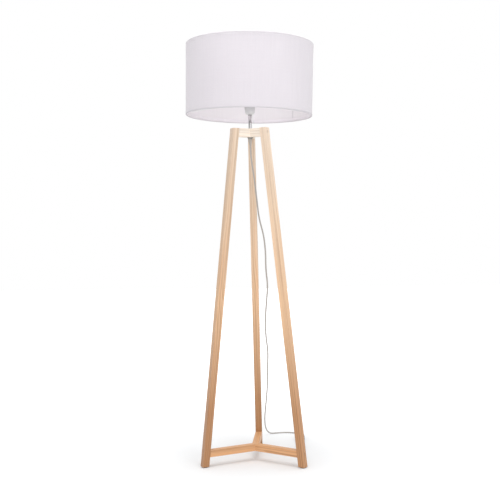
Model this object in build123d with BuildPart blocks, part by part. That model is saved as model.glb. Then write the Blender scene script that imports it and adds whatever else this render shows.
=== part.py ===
from build123d import *
import os
from math import atan, atan2, cos, degrees, pi, radians, sin, sqrt, tan

# Tripod floor lamp. Millimetres, +Z up, origin on the floor under the centre of the lamp.
# The rear leg stands towards +Y, the two front legs 60 degrees either side of -Y.

# ---------------------------------------------------------------- driving dimensions

lamp_height = 1500.0
shade_clearance = 45.0    # from the top of the legs to the lower edge of the shade

# tripod
leg_azimuths = {"left": 210.0, "right": 330.0, "rear": 90.0}
leg_section = 25.0
foot_radius = 205.0
head_radius = 60.0
leg_edge_radius = 1.5
pad_diameter = 20.0
pad_thickness = 3.0
pad_bevel = 0.5
pad_pin_diameter = 2.5
pad_pin_length = 12.0

# the two three-armed frames between the legs
rail_width = 25.0
head_depth = 30.0
stretcher_depth = 25.0
stretcher_top = 62.0
rail_edge_radius = 1.2
mitre_dowel_diameter = 5.0
mitre_dowel_length = 16.0
mitre_dowel_radius = 9.4

# leg fixings
bolt_diameter = 6.0
bolt_head_diameter = 12.0
bolt_head_height = 4.0
bolt_length = 28.0
bolt_seat_depth = 9.0
bolt_socket = 4.0
insert_diameter = 9.0
insert_length = 14.0
insert_recess = 1.0
pin_diameter = 4.0
pin_length = 18.0
pin_offset = 8.5

# stem and the hardware that clamps it
stem_diameter = 13.0
stem_bore = 10.4
stem_length = 46.0
nipple_diameter = 10.0
nipple_bore = 7.2
nipple_bevel = 0.6
washer_diameter = 22.0
washer_thickness = 1.5
nut_across_flats = 14.0
nut_height = 5.0
nut_corner_angle = 12.0
lock_ring_diameter = 14.6
lock_ring_height = 3.0
lock_ring_bevel = 0.4
grip_diameter = 14.0
grip_tip_diameter = 8.4
grip_length = 20.0
grip_collar = 9.5
grip_thread = 7.3
grip_shoulder = 1.0
grip_round = 0.8

# lampholder
cap_neck_diameter = 16.0
cap_bowl_radius = 9.5
cap_diameter = 38.0
cap_height = 32.0
cap_wall = 1.8
cap_boss_height = 9.0
skirt_diameter = 39.2
skirt_height = 24.5
skirt_bore = 29.0
skirt_spigot = 8.0
skirt_spigot_diameter = 32.4
skirt_ledge = 3.0
skirt_bevel = 1.0
flange_diameter = 44.0
flange_thickness = 2.5
insulator_height = 8.0
insulator_bevel = 0.8
insulator_hole = 3.2
insulator_seat = 2.0      # above the foot of the skirt
shell_bore = 26.7
shell_wall = 0.4
shell_height = 20.0
terminal_size = 5.0
terminal_offset = 7.5
terminal_screw_diameter = 3.0
terminal_screw_height = 2.0
terminal_slot = 0.6
contact_width = 5.0
contact_thickness = 0.5
wire_diameter = 2.0
wire_spacing = 2.6
wire_bend = 1.6
shade_ring_diameter = 57.0
shade_ring_collar = 47.0
shade_ring_flange = 2.4
shade_ring_height = 8.0
shade_ring_draft = 0.4
shade_ring_shoulder = 0.8
shade_ring_notches = 16
shade_ring_notch_diameter = 3.6
shade_ring_notch_offset = 0.4

# bulb
bulb_cap_diameter = 26.0
bulb_cap_height = 22.0
bulb_cap_rim = 0.6
bulb_contact_diameter = 9.0
bulb_contact_height = 1.5
bulb_cone_height = 5.0
bulb_cone_bevel = 1.2
bulb_diameter = 60.0
bulb_length = 108.0
bulb_neck_diameter = 29.0
bulb_shoulder_radius = 45.0
bulb_spigot_depth = 6.0
bulb_wall = 1.2
bulb_tip_height = 3.0

# shade
shade_diameter = 450.0
shade_height = 245.0
shade_wall = 0.8
hem_depth = 12.0
hem_round = 1.6
wire_ring_diameter = 3.5
seam_azimuth = 47.5
seam_width = 11.0
spider_azimuths = (90.0, 210.0, 330.0)
spider_ring_diameter = 54.0
spider_ring_thickness = 2.0
spider_arm_diameter = 3.5
spider_arm_level = 12.0

# cord and what lies on it
cord_diameter = 5.5
cord_floor_height = 2.8
cord_route_height = 1153.5    # where the cord leaves its grip in the list of points below
hank_length = 105.0
hank_width = 33.0
hank_height = 16.6
hank_corner = 9.0
tie_width = 12.0
tie_thickness = 0.8
switch_length = 66.0
switch_width = 27.0
switch_height = 22.0
switch_parting = 11.0
switch_wall = 2.5
switch_collar_length = 9.0
switch_round = 4.0
switch_bevel = 0.8
switch_screw_diameter = 3.0
switch_screw_head = 5.6
switch_screw_inset = 8.0
switch_screw_recess = 0.6
switch_screw_head_height = 1.8
switch_screw_grip = 5.0
gland_wall = 1.4
gland_root_wall = 2.6
rocker_length = 22.0
rocker_width = 13.4
rocker_rise = 7.5
rocker_dish = 1.4
rocker_edge_radius = 0.8
rocker_pin_reach = 2.5
rocker_tilt = 9.0
rocker_pivot_height = 14.0
rocker_pivot_diameter = 3.0
plug_width = 24.0
plug_height = 18.0
plug_length = 36.0
plug_relief_length = 22.0
plug_relief_wall = 1.0
plug_relief_root = 11.2
plug_groove_width = 1.6
plug_groove_spacing = 4.5
plug_neck_width = 15.0
plug_neck_height = 13.0
plug_neck_round = 5.5
plug_round = 5.0
blade_width = 6.35
blade_thickness = 1.5
blade_length = 17.5
blade_spacing = 12.7
blade_hole = 3.2
blade_hole_inset = 4.0

# clearances
slip = 0.1            # pressed or glued pieces
loose = 0.25          # bolts, the cord in its bores
shade_gap = 0.3       # between the shade and the pieces that clamp it
pivot_gap = 0.05      # running fit of the rocker

# the run of cord that lies behind the right leg: where it passes, and its direction
tail_origin = (161.5, 281.0)
tail_heading = -87.7
hank_start = -68.5
hank_entry_offset = 4.0
tail_gap = 26.0
lead_length = 50.0
lead_straight = 15.0

# ---------------------------------------------------------------- worked-out places

shade_bottom = lamp_height - shade_height
leg_top = shade_bottom - shade_clearance
leg_tilt = atan((foot_radius - head_radius) / leg_top)
leg_half_depth = leg_section / 2 / cos(leg_tilt)
head_bottom = leg_top - head_depth
stretcher_bottom = stretcher_top - stretcher_depth
joint_heights = (head_bottom + head_depth / 2, stretcher_bottom + stretcher_depth / 2)

stem_top = leg_top + stem_length
cap_bottom = stem_top + lock_ring_height
cap_top = cap_bottom + cap_height
nut_top = head_bottom - washer_thickness
grip_top = nut_top - nut_height
cord_exit = grip_top - grip_length
insulator_bottom = cap_top - skirt_spigot + insulator_seat
insulator_top = insulator_bottom + insulator_height
flange_top = cap_top + flange_thickness
spider_bottom = flange_top + slip
shade_ring_bottom = spider_bottom + spider_ring_thickness + slip
bulb_bottom = insulator_top + bulb_tip_height + 1.0
hoop_radius = shade_diameter / 2 - shade_wall - slip - wire_ring_diameter / 2
hoop_inset = shade_wall + slip + wire_ring_diameter / 2


def leg_radius(height):
    """Distance of a leg's middle line from the lamp's axis."""
    return foot_radius + (head_radius - foot_radius) * height / leg_top


def direction(azimuth):
    """Level unit vector at an azimuth, counted from +X."""
    return Vector(cos(radians(azimuth)), sin(radians(azimuth)), 0)


def level_plane(azimuth, radius, height):
    """Level plane with its X axis pointing outwards."""
    out = direction(azimuth)
    return Plane(origin=out * radius + Vector(0, 0, height), x_dir=out, z_dir=(0, 0, 1))


def outward_plane(azimuth, radius, height):
    """Upright plane that faces outwards, with its X axis level."""
    out = direction(azimuth)
    return Plane(origin=out * radius + Vector(0, 0, height), x_dir=direction(azimuth + 90), z_dir=out)


def radial_plane(azimuth):
    """Upright plane through the lamp's axis: X outwards, Y up."""
    return Plane(origin=(0, 0, 0), x_dir=direction(azimuth), z_dir=direction(azimuth - 90))


def leg_face_plane(azimuth, side):
    """Plane of a leg's inner (side -1) or outer (side 1) face, facing outwards."""
    out = direction(azimuth)
    normal = out * cos(leg_tilt) + Vector(0, 0, sin(leg_tilt))
    return Plane(origin=out * (foot_radius + side * leg_half_depth), z_dir=normal)


tail_along = direction(tail_heading)
tail_across = direction(tail_heading + 90)


def tail_point(along, across, height):
    """A point beside the line on which hank, switch and plug lie."""
    start = Vector(*tail_origin, 0)
    return start + tail_along * along + tail_across * across + Vector(0, 0, height)


def tail_plane(along, across, height):
    """Level plane on the tail line, X along the cord."""
    return Plane(origin=tail_point(along, across, height), x_dir=tail_along, z_dir=(0, 0, 1))


def cross_plane(along, across, height):
    """Upright plane square to the tail line, facing along the cord."""
    return Plane(origin=tail_point(along, across, height), x_dir=tail_across, z_dir=tail_along)


hank_end = hank_start + hank_length
hank_bottom = tie_thickness + slip
switch_start = hank_end + tail_gap
switch_middle = switch_start + switch_collar_length + switch_length / 2
switch_end = switch_start + switch_length + 2 * switch_collar_length
plug_start = switch_end + lead_length
plug_body_start = plug_start + plug_relief_length
plug_face = plug_body_start + plug_length

os.makedirs("parts", exist_ok=True)


def save(part, node):
    part.label = node
    export_step(part, f"parts/{node}.step")


# ---------------------------------------------------------------- legs and feet


def make_leg(azimuth):
    """A square bar that leans in, cut level at both ends and drilled for its fixings."""
    with BuildPart() as leg:
        for height in (pad_thickness, leg_top):
            with BuildSketch(level_plane(azimuth, leg_radius(height), height)):
                Rectangle(2 * leg_half_depth, leg_section)
        loft()
        fillet(leg.edges().filter_by(lambda edge: edge.length > leg_top / 2), leg_edge_radius)
        for height in joint_heights:
            middle = leg_radius(height)
            with BuildSketch(outward_plane(azimuth, middle, height)):
                Circle(bolt_diameter / 2 + loose)
            extrude(amount=leg_section, both=True, mode=Mode.SUBTRACT)
            seat = middle + leg_half_depth - bolt_seat_depth
            with BuildSketch(outward_plane(azimuth, seat, height)):
                Circle(bolt_head_diameter / 2 + loose)
            extrude(amount=leg_section, mode=Mode.SUBTRACT)
            with BuildSketch(outward_plane(azimuth, middle - leg_half_depth, height)):
                with Locations((pin_offset, 0), (-pin_offset, 0)):
                    Circle(pin_diameter / 2 + slip)
            extrude(amount=pin_length / 2 + loose, both=True, mode=Mode.SUBTRACT)
        with BuildSketch(Plane(origin=level_plane(azimuth, leg_radius(pad_thickness), pad_thickness).origin)):
            Circle(pad_pin_diameter / 2 + slip)
        extrude(amount=pad_pin_length + loose, mode=Mode.SUBTRACT)
    return leg


def make_foot_pad(azimuth):
    """A felt glide nailed under a leg."""
    centre = level_plane(azimuth, leg_radius(pad_thickness), 0)
    with BuildPart() as pad:
        with BuildSketch(centre):
            Circle(pad_diameter / 2)
        extrude(amount=pad_thickness)
        chamfer(pad.edges().group_by(Axis.Z)[0], pad_bevel)
        with BuildSketch(centre.offset(pad_thickness)):
            Circle(pad_pin_diameter / 2)
        extrude(amount=pad_pin_length)
    return pad


for side, azimuth in leg_azimuths.items():
    save(make_leg(azimuth).part, f"leg_{side}")
    save(make_foot_pad(azimuth).part, f"foot_pad_{side}")


# ---------------------------------------------------------------- rails


def make_rail(azimuth, bottom, depth, bore):
    """An arm from the mitred centre to a leg's inner face."""
    nose = rail_width / 2 / tan(radians(60))
    reach = leg_radius(bottom) + leg_half_depth
    middle = bottom + depth / 2
    with BuildPart() as rail:
        with BuildSketch(level_plane(azimuth, 0, bottom)):
            with BuildLine():
                Polyline(
                    (0, 0),
                    (nose, rail_width / 2),
                    (reach, rail_width / 2),
                    (reach, -rail_width / 2),
                    (nose, -rail_width / 2),
                    close=True,
                )
            make_face()
        extrude(amount=depth)
        split(bisect_by=leg_face_plane(azimuth, -1), keep=Keep.BOTTOM)
        out = direction(azimuth)
        long_edges = rail.edges().filter_by(lambda edge: abs((edge % 0.5).dot(out)) > 0.999)
        fillet(long_edges, rail_edge_radius)
        if bore:
            with BuildSketch(Plane.XY.offset(bottom)):
                Circle(bore / 2)
            extrude(amount=depth, mode=Mode.SUBTRACT)
        end = leg_radius(middle) - leg_half_depth
        with BuildSketch(outward_plane(azimuth, end, middle)):
            Circle(insert_diameter / 2 + slip)
        extrude(amount=insert_length + loose, both=True, mode=Mode.SUBTRACT)
        with BuildSketch(outward_plane(azimuth, end, middle)):
            with Locations((pin_offset, 0), (-pin_offset, 0)):
                Circle(pin_diameter / 2 + slip)
        extrude(amount=pin_length / 2 + loose, both=True, mode=Mode.SUBTRACT)
        for turn in (-60, 60):
            mitre = azimuth + turn
            centre = direction(mitre) * mitre_dowel_radius + Vector(0, 0, middle)
            with BuildSketch(Plane(origin=centre, z_dir=direction(mitre + 90))):
                Circle(mitre_dowel_diameter / 2 + slip)
            extrude(amount=mitre_dowel_length / 2 + loose, both=True, mode=Mode.SUBTRACT)
    return rail


for side, azimuth in leg_azimuths.items():
    save(make_rail(azimuth, head_bottom, head_depth, nipple_diameter + 2 * loose).part, f"head_rail_{side}")
    save(make_rail(azimuth, stretcher_bottom, stretcher_depth, None).part, f"stretcher_rail_{side}")


with BuildPart() as mitre_dowels:
    for height in joint_heights:
        for azimuth in leg_azimuths.values():
            centre = direction(azimuth + 60) * mitre_dowel_radius + Vector(0, 0, height)
            with BuildSketch(Plane(origin=centre, z_dir=direction(azimuth + 150))):
                Circle(mitre_dowel_diameter / 2)
            extrude(amount=mitre_dowel_length / 2, both=True)
save(mitre_dowels.part, "mitre_dowels")


# ---------------------------------------------------------------- leg fixings

leg_joints = [(azimuth, height) for azimuth in leg_azimuths.values() for height in joint_heights]

with BuildPart() as leg_bolts:
    for azimuth, height in leg_joints:
        seat = outward_plane(azimuth, leg_radius(height) + leg_half_depth - bolt_seat_depth, height)
        with BuildSketch(seat):
            Circle(bolt_head_diameter / 2)
        extrude(amount=bolt_head_height)
        with BuildSketch(seat):
            Circle(bolt_diameter / 2)
        extrude(amount=-bolt_length)
        with BuildSketch(seat.offset(bolt_head_height)):
            RegularPolygon(bolt_socket / 2, 6, major_radius=False)
        extrude(amount=-bolt_head_height / 2, mode=Mode.SUBTRACT)
save(leg_bolts.part, "leg_bolts")

with BuildPart() as threaded_inserts:
    for azimuth, height in leg_joints:
        end = leg_radius(height) - leg_half_depth
        with BuildSketch(outward_plane(azimuth, end - insert_recess, height)):
            Circle(insert_diameter / 2)
            Circle(bolt_diameter / 2 + slip, mode=Mode.SUBTRACT)
        extrude(amount=-(insert_length - insert_recess))
save(threaded_inserts.part, "threaded_inserts")

with BuildPart() as locating_pins:
    for azimuth, height in leg_joints:
        with BuildSketch(outward_plane(azimuth, leg_radius(height) - leg_half_depth, height)):
            with Locations((pin_offset, 0), (-pin_offset, 0)):
                Circle(pin_diameter / 2)
        extrude(amount=pin_length / 2, both=True)
save(locating_pins.part, "locating_pins")

with BuildPart() as bolt_covers:
    for azimuth, height in leg_joints:
        start = leg_radius(height) + leg_half_depth - bolt_seat_depth + bolt_head_height + slip
        with BuildSketch(outward_plane(azimuth, start, height)):
            Circle(bolt_head_diameter / 2 + loose - slip)
        extrude(amount=leg_section)
    for azimuth in leg_azimuths.values():
        split(bisect_by=leg_face_plane(azimuth, 1), keep=Keep.BOTTOM)
save(bolt_covers.part, "bolt_covers")


# ---------------------------------------------------------------- stem and clamp

nipple_bottom = grip_top - grip_thread
nipple_top = cap_bottom + cap_boss_height

with BuildPart() as threaded_nipple:
    with BuildSketch(Plane.XY.offset(nipple_bottom)):
        Circle(nipple_diameter / 2)
        Circle(nipple_bore / 2, mode=Mode.SUBTRACT)
    extrude(amount=nipple_top - nipple_bottom)
    chamfer(threaded_nipple.edges().filter_by(GeomType.CIRCLE).sort_by(SortBy.RADIUS)[-2:], nipple_bevel)
save(threaded_nipple.part, "threaded_nipple")

with BuildPart() as stem_tube:
    with BuildSketch(Plane.XY.offset(leg_top)):
        Circle(stem_diameter / 2)
        Circle(stem_bore / 2, mode=Mode.SUBTRACT)
    extrude(amount=stem_length)
save(stem_tube.part, "stem_tube")

with BuildPart() as lock_ring:
    with BuildSketch(Plane.XY.offset(stem_top)):
        Circle(lock_ring_diameter / 2)
        Circle(nipple_diameter / 2 + slip, mode=Mode.SUBTRACT)
    extrude(amount=lock_ring_height)
    chamfer(lock_ring.edges().filter_by(GeomType.CIRCLE).sort_by(SortBy.RADIUS)[-2:], lock_ring_bevel)
save(lock_ring.part, "lock_ring")

with BuildPart() as clamp_washer:
    with BuildSketch(Plane.XY.offset(nut_top)):
        Circle(washer_diameter / 2)
        Circle(nipple_diameter / 2 + slip, mode=Mode.SUBTRACT)
    extrude(amount=washer_thickness)
save(clamp_washer.part, "clamp_washer")

with BuildPart() as clamp_nut:
    with BuildSketch(Plane.XY.offset(grip_top)):
        RegularPolygon(nut_across_flats / 2, 6, major_radius=False)
        Circle(nipple_diameter / 2 + slip, mode=Mode.SUBTRACT)
    extrude(amount=nut_height)
    with BuildSketch(Plane.XY.offset(grip_top)):
        Circle(nut_across_flats / 2 + 0.4)
    extrude(amount=nut_height, taper=-nut_corner_angle, mode=Mode.INTERSECT)
save(clamp_nut.part, "clamp_nut")

with BuildPart() as cord_grip:
    with BuildSketch(Plane.XZ):
        with BuildLine():
            Polyline(
                (cord_diameter / 2 + slip, cord_exit),
                (grip_tip_diameter / 2, cord_exit),
                (grip_diameter / 2 - grip_shoulder, grip_top - grip_collar),
                (grip_diameter / 2, grip_top - grip_collar + 0.6),
                (grip_diameter / 2, grip_top),
                (nipple_diameter / 2 + slip, grip_top),
                (nipple_diameter / 2 + slip, nipple_bottom),
                (cord_diameter / 2 + slip, nipple_bottom),
                close=True,
            )
        make_face()
    revolve(axis=Axis.Z)
    fillet(cord_grip.edges().group_by(Axis.Z)[0].sort_by(SortBy.RADIUS)[-1], grip_round)
save(cord_grip.part, "cord_grip")


# ---------------------------------------------------------------- lampholder

with BuildPart() as holder_cap:
    with BuildSketch(Plane.XZ):
        with BuildLine():
            foot = Line((0, cap_bottom), (cap_neck_diameter / 2, cap_bottom))
            bowl = TangentArc(foot @ 1, foot @ 1 + (cap_bowl_radius, cap_bowl_radius), tangent=(1, 0))
            Polyline(bowl @ 1, (cap_diameter / 2, cap_top), (0, cap_top), (0, cap_bottom))
        make_face()
    revolve(axis=Axis.Z)
    offset(amount=-cap_wall, openings=holder_cap.faces().sort_by(Axis.Z)[-1])
    with BuildSketch(Plane.XY.offset(cap_bottom)):
        Circle(cap_neck_diameter / 2)
    extrude(amount=cap_boss_height)
    with BuildSketch(Plane.XY.offset(cap_bottom)):
        Circle(nipple_diameter / 2 + slip)
    extrude(amount=cap_boss_height, mode=Mode.SUBTRACT)
save(holder_cap.part, "holder_cap")

with BuildPart() as holder_skirt:
    with BuildSketch(Plane.XY.offset(cap_top - skirt_spigot)):
        Circle(skirt_spigot_diameter / 2)
    extrude(amount=skirt_spigot)
    with BuildSketch(Plane.XY.offset(cap_top)):
        Circle(flange_diameter / 2)
    extrude(amount=flange_thickness)
    with BuildSketch(Plane.XY.offset(flange_top)):
        Circle(skirt_diameter / 2)
    extrude(amount=skirt_height)
    chamfer(holder_skirt.edges().group_by(Axis.Z)[-1], skirt_bevel)
    with BuildSketch(Plane.XY.offset(insulator_bottom)):
        Circle(skirt_bore / 2)
    extrude(amount=flange_top + skirt_height - insulator_bottom, mode=Mode.SUBTRACT)
    with BuildSketch(Plane.XY.offset(cap_top - skirt_spigot)):
        Circle(skirt_bore / 2 - skirt_ledge)
    extrude(amount=skirt_spigot, mode=Mode.SUBTRACT)
save(holder_skirt.part, "holder_skirt")

with BuildPart() as holder_insulator:
    with BuildSketch(Plane.XY.offset(insulator_bottom)):
        Circle(skirt_bore / 2 - slip)
    extrude(amount=insulator_height)
    chamfer(holder_insulator.edges().group_by(Axis.Z)[-1], insulator_bevel)
    with BuildSketch(Plane.XY.offset(insulator_bottom)):
        with Locations((0, terminal_offset + terminal_size), (0, -terminal_offset - terminal_size)):
            Circle(insulator_hole / 2)
    extrude(amount=insulator_height, mode=Mode.SUBTRACT)
save(holder_insulator.part, "holder_insulator")

with BuildPart() as screw_shell:
    with BuildSketch(Plane.XY.offset(insulator_top)):
        Circle(shell_bore / 2 + shell_wall)
        Circle(shell_bore / 2, mode=Mode.SUBTRACT)
    extrude(amount=shell_height)
save(screw_shell.part, "screw_shell")

with BuildPart() as centre_contact:
    tongue_height = insulator_top + bulb_tip_height
    with BuildSketch(Plane.XZ):
        with BuildLine():
            Polyline(
                (-1.2 * contact_width, insulator_top),
                (contact_width, insulator_top),
                (contact_width, insulator_top + contact_thickness),
                (-contact_width, insulator_top + contact_thickness),
                (0.5 * contact_width, tongue_height),
                (0.5 * contact_width, tongue_height + contact_thickness),
                (-1.2 * contact_width, insulator_top + 2 * contact_thickness),
                close=True,
            )
        make_face()
    extrude(amount=contact_width / 2, both=True)
save(centre_contact.part, "centre_contact")

terminal_bottom = insulator_bottom - terminal_size

with BuildPart() as terminals:
    with BuildSketch(Plane.XY.offset(terminal_bottom)):
        with Locations((terminal_offset, 0), (-terminal_offset, 0)):
            RectangleRounded(terminal_size, terminal_size, 0.6)
    extrude(amount=terminal_size)
save(terminals.part, "terminals")

with BuildPart() as terminal_screws:
    for across in (terminal_offset, -terminal_offset):
        middle = insulator_bottom - terminal_size / 2
        head = Plane(origin=(across, -terminal_size / 2, middle), z_dir=(0, -1, 0))
        with BuildSketch(head):
            Circle(terminal_screw_diameter / 2)
        extrude(amount=terminal_screw_height)
        with BuildSketch(head.offset(terminal_screw_height)):
            Rectangle(terminal_screw_diameter, terminal_slot)
        extrude(amount=-0.4 * terminal_screw_height, mode=Mode.SUBTRACT)
save(terminal_screws.part, "terminal_screws")

with BuildPart() as shade_ring:
    with BuildSketch(Plane.XZ):
        bore = skirt_diameter / 2 + slip
        with BuildLine():
            Polyline(
                (bore, shade_ring_bottom),
                (shade_ring_diameter / 2, shade_ring_bottom),
                (shade_ring_diameter / 2, shade_ring_bottom + shade_ring_flange),
                (shade_ring_collar / 2, shade_ring_bottom + shade_ring_flange + shade_ring_shoulder),
                (shade_ring_collar / 2 - shade_ring_draft, shade_ring_bottom + shade_ring_height),
                (bore, shade_ring_bottom + shade_ring_height),
                close=True,
            )
        make_face()
    revolve(axis=Axis.Z)
    with BuildSketch(Plane.XY.offset(shade_ring_bottom)):
        with PolarLocations(shade_ring_diameter / 2 + shade_ring_notch_offset, shade_ring_notches):
            Circle(shade_ring_notch_diameter / 2)
    extrude(amount=shade_ring_flange + shade_ring_shoulder, mode=Mode.SUBTRACT)
save(shade_ring.part, "shade_ring")

with BuildPart() as supply_core:
    with BuildSketch(Plane.XY.offset(cord_exit)):
        Circle(cord_diameter / 2)
    extrude(amount=nipple_top - cord_exit)
save(supply_core.part, "supply_core")

with BuildPart() as lead_wires:
    for side in (-1, 1):
        with BuildLine(Plane.XZ) as wire_path:
            FilletPolyline(
                (side * wire_spacing / 2, nipple_top),
                (side * wire_spacing / 2, nipple_top + 1.5 * wire_diameter),
                (side * terminal_offset, terminal_bottom - 2 * wire_diameter),
                (side * terminal_offset, terminal_bottom),
                radius=wire_bend,
            )
        with BuildSketch(Plane.XY.offset(nipple_top)):
            with Locations((side * wire_spacing / 2, 0)):
                Circle(wire_diameter / 2)
        sweep(path=wire_path.wire())
save(lead_wires.part, "lead_wires")


# ---------------------------------------------------------------- bulb

bulb_neck_height = bulb_bottom + bulb_cap_height
bulb_top = bulb_bottom + bulb_length
bulb_ball_height = bulb_top - bulb_diameter / 2

cap_floor = bulb_bottom + bulb_cone_height + bulb_cone_bevel + 0.4

with BuildPart() as bulb_cap:
    with BuildSketch(Plane.XZ):
        with BuildLine():
            Polyline(
                (0, bulb_bottom),
                (bulb_contact_diameter / 2, bulb_bottom),
                (bulb_contact_diameter / 2 + 1.0, bulb_bottom + bulb_contact_height),
                (bulb_cap_diameter / 2 - bulb_cone_bevel, bulb_bottom + bulb_cone_height),
                (bulb_cap_diameter / 2, bulb_bottom + bulb_cone_height + bulb_cone_bevel),
                (bulb_cap_diameter / 2, bulb_neck_height),
                (bulb_cap_diameter / 2 - bulb_cap_rim, bulb_neck_height),
                (bulb_cap_diameter / 2 - bulb_cap_rim, cap_floor),
                (0, cap_floor),
                close=True,
            )
        make_face()
    revolve(axis=Axis.Z)
save(bulb_cap.part, "bulb_cap")

# The glass is a ball that runs into its neck by a hollow shoulder; both walls share their centres.
shoulder_reach = bulb_neck_diameter / 2 + bulb_shoulder_radius
shoulder_drop = sqrt((bulb_diameter / 2 + bulb_shoulder_radius) ** 2 - shoulder_reach**2)
shoulder_turn = degrees(atan2(shoulder_drop, shoulder_reach))
shoulder_height = bulb_ball_height - shoulder_drop
glass_bottom = bulb_neck_height + slip
spigot_radius = bulb_cap_diameter / 2 - bulb_cap_rim - slip

with BuildPart() as bulb_globe:
    for inset, mode in ((0, Mode.ADD), (bulb_wall, Mode.SUBTRACT)):
        with BuildSketch(Plane.XZ):
            with BuildLine():
                crown = CenterArc(
                    (0, bulb_ball_height),
                    bulb_diameter / 2 - inset,
                    -shoulder_turn,
                    90 + shoulder_turn,
                )
                shoulder = CenterArc(
                    (shoulder_reach, shoulder_height),
                    bulb_shoulder_radius + inset,
                    180 - shoulder_turn,
                    shoulder_turn,
                )
                Polyline(
                    shoulder @ 1,
                    (bulb_neck_diameter / 2 - inset, glass_bottom + inset),
                    (0, glass_bottom + inset),
                    crown @ 1,
                )
            make_face()
        revolve(axis=Axis.Z, mode=mode)
    spigot_bottom = bulb_neck_height - bulb_spigot_depth
    spigot_length = glass_bottom + bulb_wall - spigot_bottom
    with BuildSketch(Plane.XY.offset(spigot_bottom)):
        Circle(spigot_radius)
    extrude(amount=spigot_length)
    with BuildSketch(Plane.XY.offset(spigot_bottom)):
        Circle(spigot_radius - bulb_wall)
    extrude(amount=spigot_length, mode=Mode.SUBTRACT)
save(bulb_globe.part, "bulb_globe")


# ---------------------------------------------------------------- shade

with BuildPart() as shade_cover:
    outer = shade_diameter / 2
    flap = hoop_radius - wire_ring_diameter / 2 - slip
    with BuildSketch(Plane.XZ):
        with Locations((outer - shade_wall / 2, shade_bottom + shade_height / 2)):
            Rectangle(shade_wall, shade_height)
        for level, inward in ((shade_bottom, 1), (lamp_height, -1)):
            with Locations(((outer + flap - shade_wall) / 2, level + inward * shade_wall / 2)):
                Rectangle(outer - flap + shade_wall, shade_wall)
            with Locations((flap - shade_wall / 2, level + inward * hem_depth / 2)):
                Rectangle(shade_wall, hem_depth)
    revolve(axis=Axis.Z)
    rims = shade_cover.edges().filter_by(GeomType.CIRCLE).group_by(Axis.Z)
    outer_rims = [rim.sort_by(SortBy.RADIUS)[-1] for rim in (rims[0], rims[-1])]
    fillet(ShapeList(outer_rims), shade_wall * 0.95)
    for azimuth in spider_azimuths:
        slot = outward_plane(azimuth, flap - 2 * shade_wall, shade_bottom + hem_depth / 2)
        with BuildSketch(slot):
            Rectangle(spider_arm_diameter + 2.0, hem_depth + 1.0)
        extrude(amount=2.5 * shade_wall, mode=Mode.SUBTRACT)
    seam_sweep = degrees(seam_width / (shade_diameter / 2))
    with BuildSketch(radial_plane(seam_azimuth)):
        with Locations((outer - 1.5 * shade_wall + 0.05, shade_bottom + shade_height / 2)):
            Rectangle(shade_wall, shade_height - 2 * (hem_depth + 1.0))
    revolve(axis=Axis.Z, revolution_arc=seam_sweep)
save(shade_cover.part, "shade_cover")


def make_hoop(height):
    """A wire ring that lies in a hem of the cover."""
    with BuildPart() as hoop:
        with BuildSketch(Plane.XZ):
            with Locations((hoop_radius, height)):
                Circle(wire_ring_diameter / 2)
        revolve(axis=Axis.Z)
    return hoop


top_hoop = make_hoop(lamp_height - hoop_inset)
save(top_hoop.part, "top_hoop")
bottom_hoop = make_hoop(shade_bottom + hoop_inset)
save(bottom_hoop.part, "bottom_hoop")

with BuildPart() as shade_spider:
    with BuildSketch(Plane.XY.offset(spider_bottom)):
        Circle(spider_ring_diameter / 2)
        Circle(skirt_diameter / 2 + shade_gap, mode=Mode.SUBTRACT)
    extrude(amount=spider_ring_thickness)
    arm_start = spider_ring_diameter / 2 - 3.0
    arm_height = spider_bottom + spider_ring_thickness - spider_arm_diameter / 2
    arm_low = shade_bottom + hoop_inset
    for azimuth in spider_azimuths:
        with BuildLine(radial_plane(azimuth)) as arm_path:
            FilletPolyline(
                (arm_start, arm_height),
                (arm_start + spider_arm_level, arm_height),
                (hoop_radius - spider_arm_level, arm_low),
                (hoop_radius, arm_low),
                radius=8.0,
            )
        with BuildSketch(outward_plane(azimuth, arm_start, arm_height)):
            Circle(spider_arm_diameter / 2)
        sweep(path=arm_path.wire())
    with BuildSketch(Plane.XY.offset(spider_bottom)):
        Circle(skirt_diameter / 2 + shade_gap)
    extrude(amount=spider_ring_thickness, both=True, mode=Mode.SUBTRACT)
    add(bottom_hoop, mode=Mode.SUBTRACT)
save(shade_spider.part, "shade_spider")


# ---------------------------------------------------------------- cord

# The hanging run is chosen for one height of the lamp, and its heights follow that of the exit.
cord_stretch = cord_exit / cord_route_height

hanging_points = [
    (0, 0, cord_route_height),
    (0, 0, 1124),
    (5, 10, 1078),
    (12, 27, 1022),
    (17, 47, 956),
    (22, 72, 892),
    (36, 96, 836),
    (42, 117, 772),
    (40, 140, 702),
    (46, 160, 640),
    (38, 184, 570),
    (31, 207, 500),
    (31, 230, 436),
    (38, 252, 370),
    (33, 276, 302),
    (31, 300, 236),
    (25, 322, 172),
    (17, 343, 112),
    (13, 360, 66),
    (16, 375, 27),
]
floor_points = [(32, 391), (64, 408), (102, 415), (134, 407), (154, 394)]
cord_route = [(x, y, z * cord_stretch) for x, y, z in hanging_points]
cord_route += [(x, y, cord_floor_height) for x, y in floor_points]
hank_face = tail_point(hank_start, hank_entry_offset, cord_floor_height + hank_bottom)
cord_route.append(tuple(hank_face - tail_along * 24))
cord_route.append(tuple(hank_face))

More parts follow.
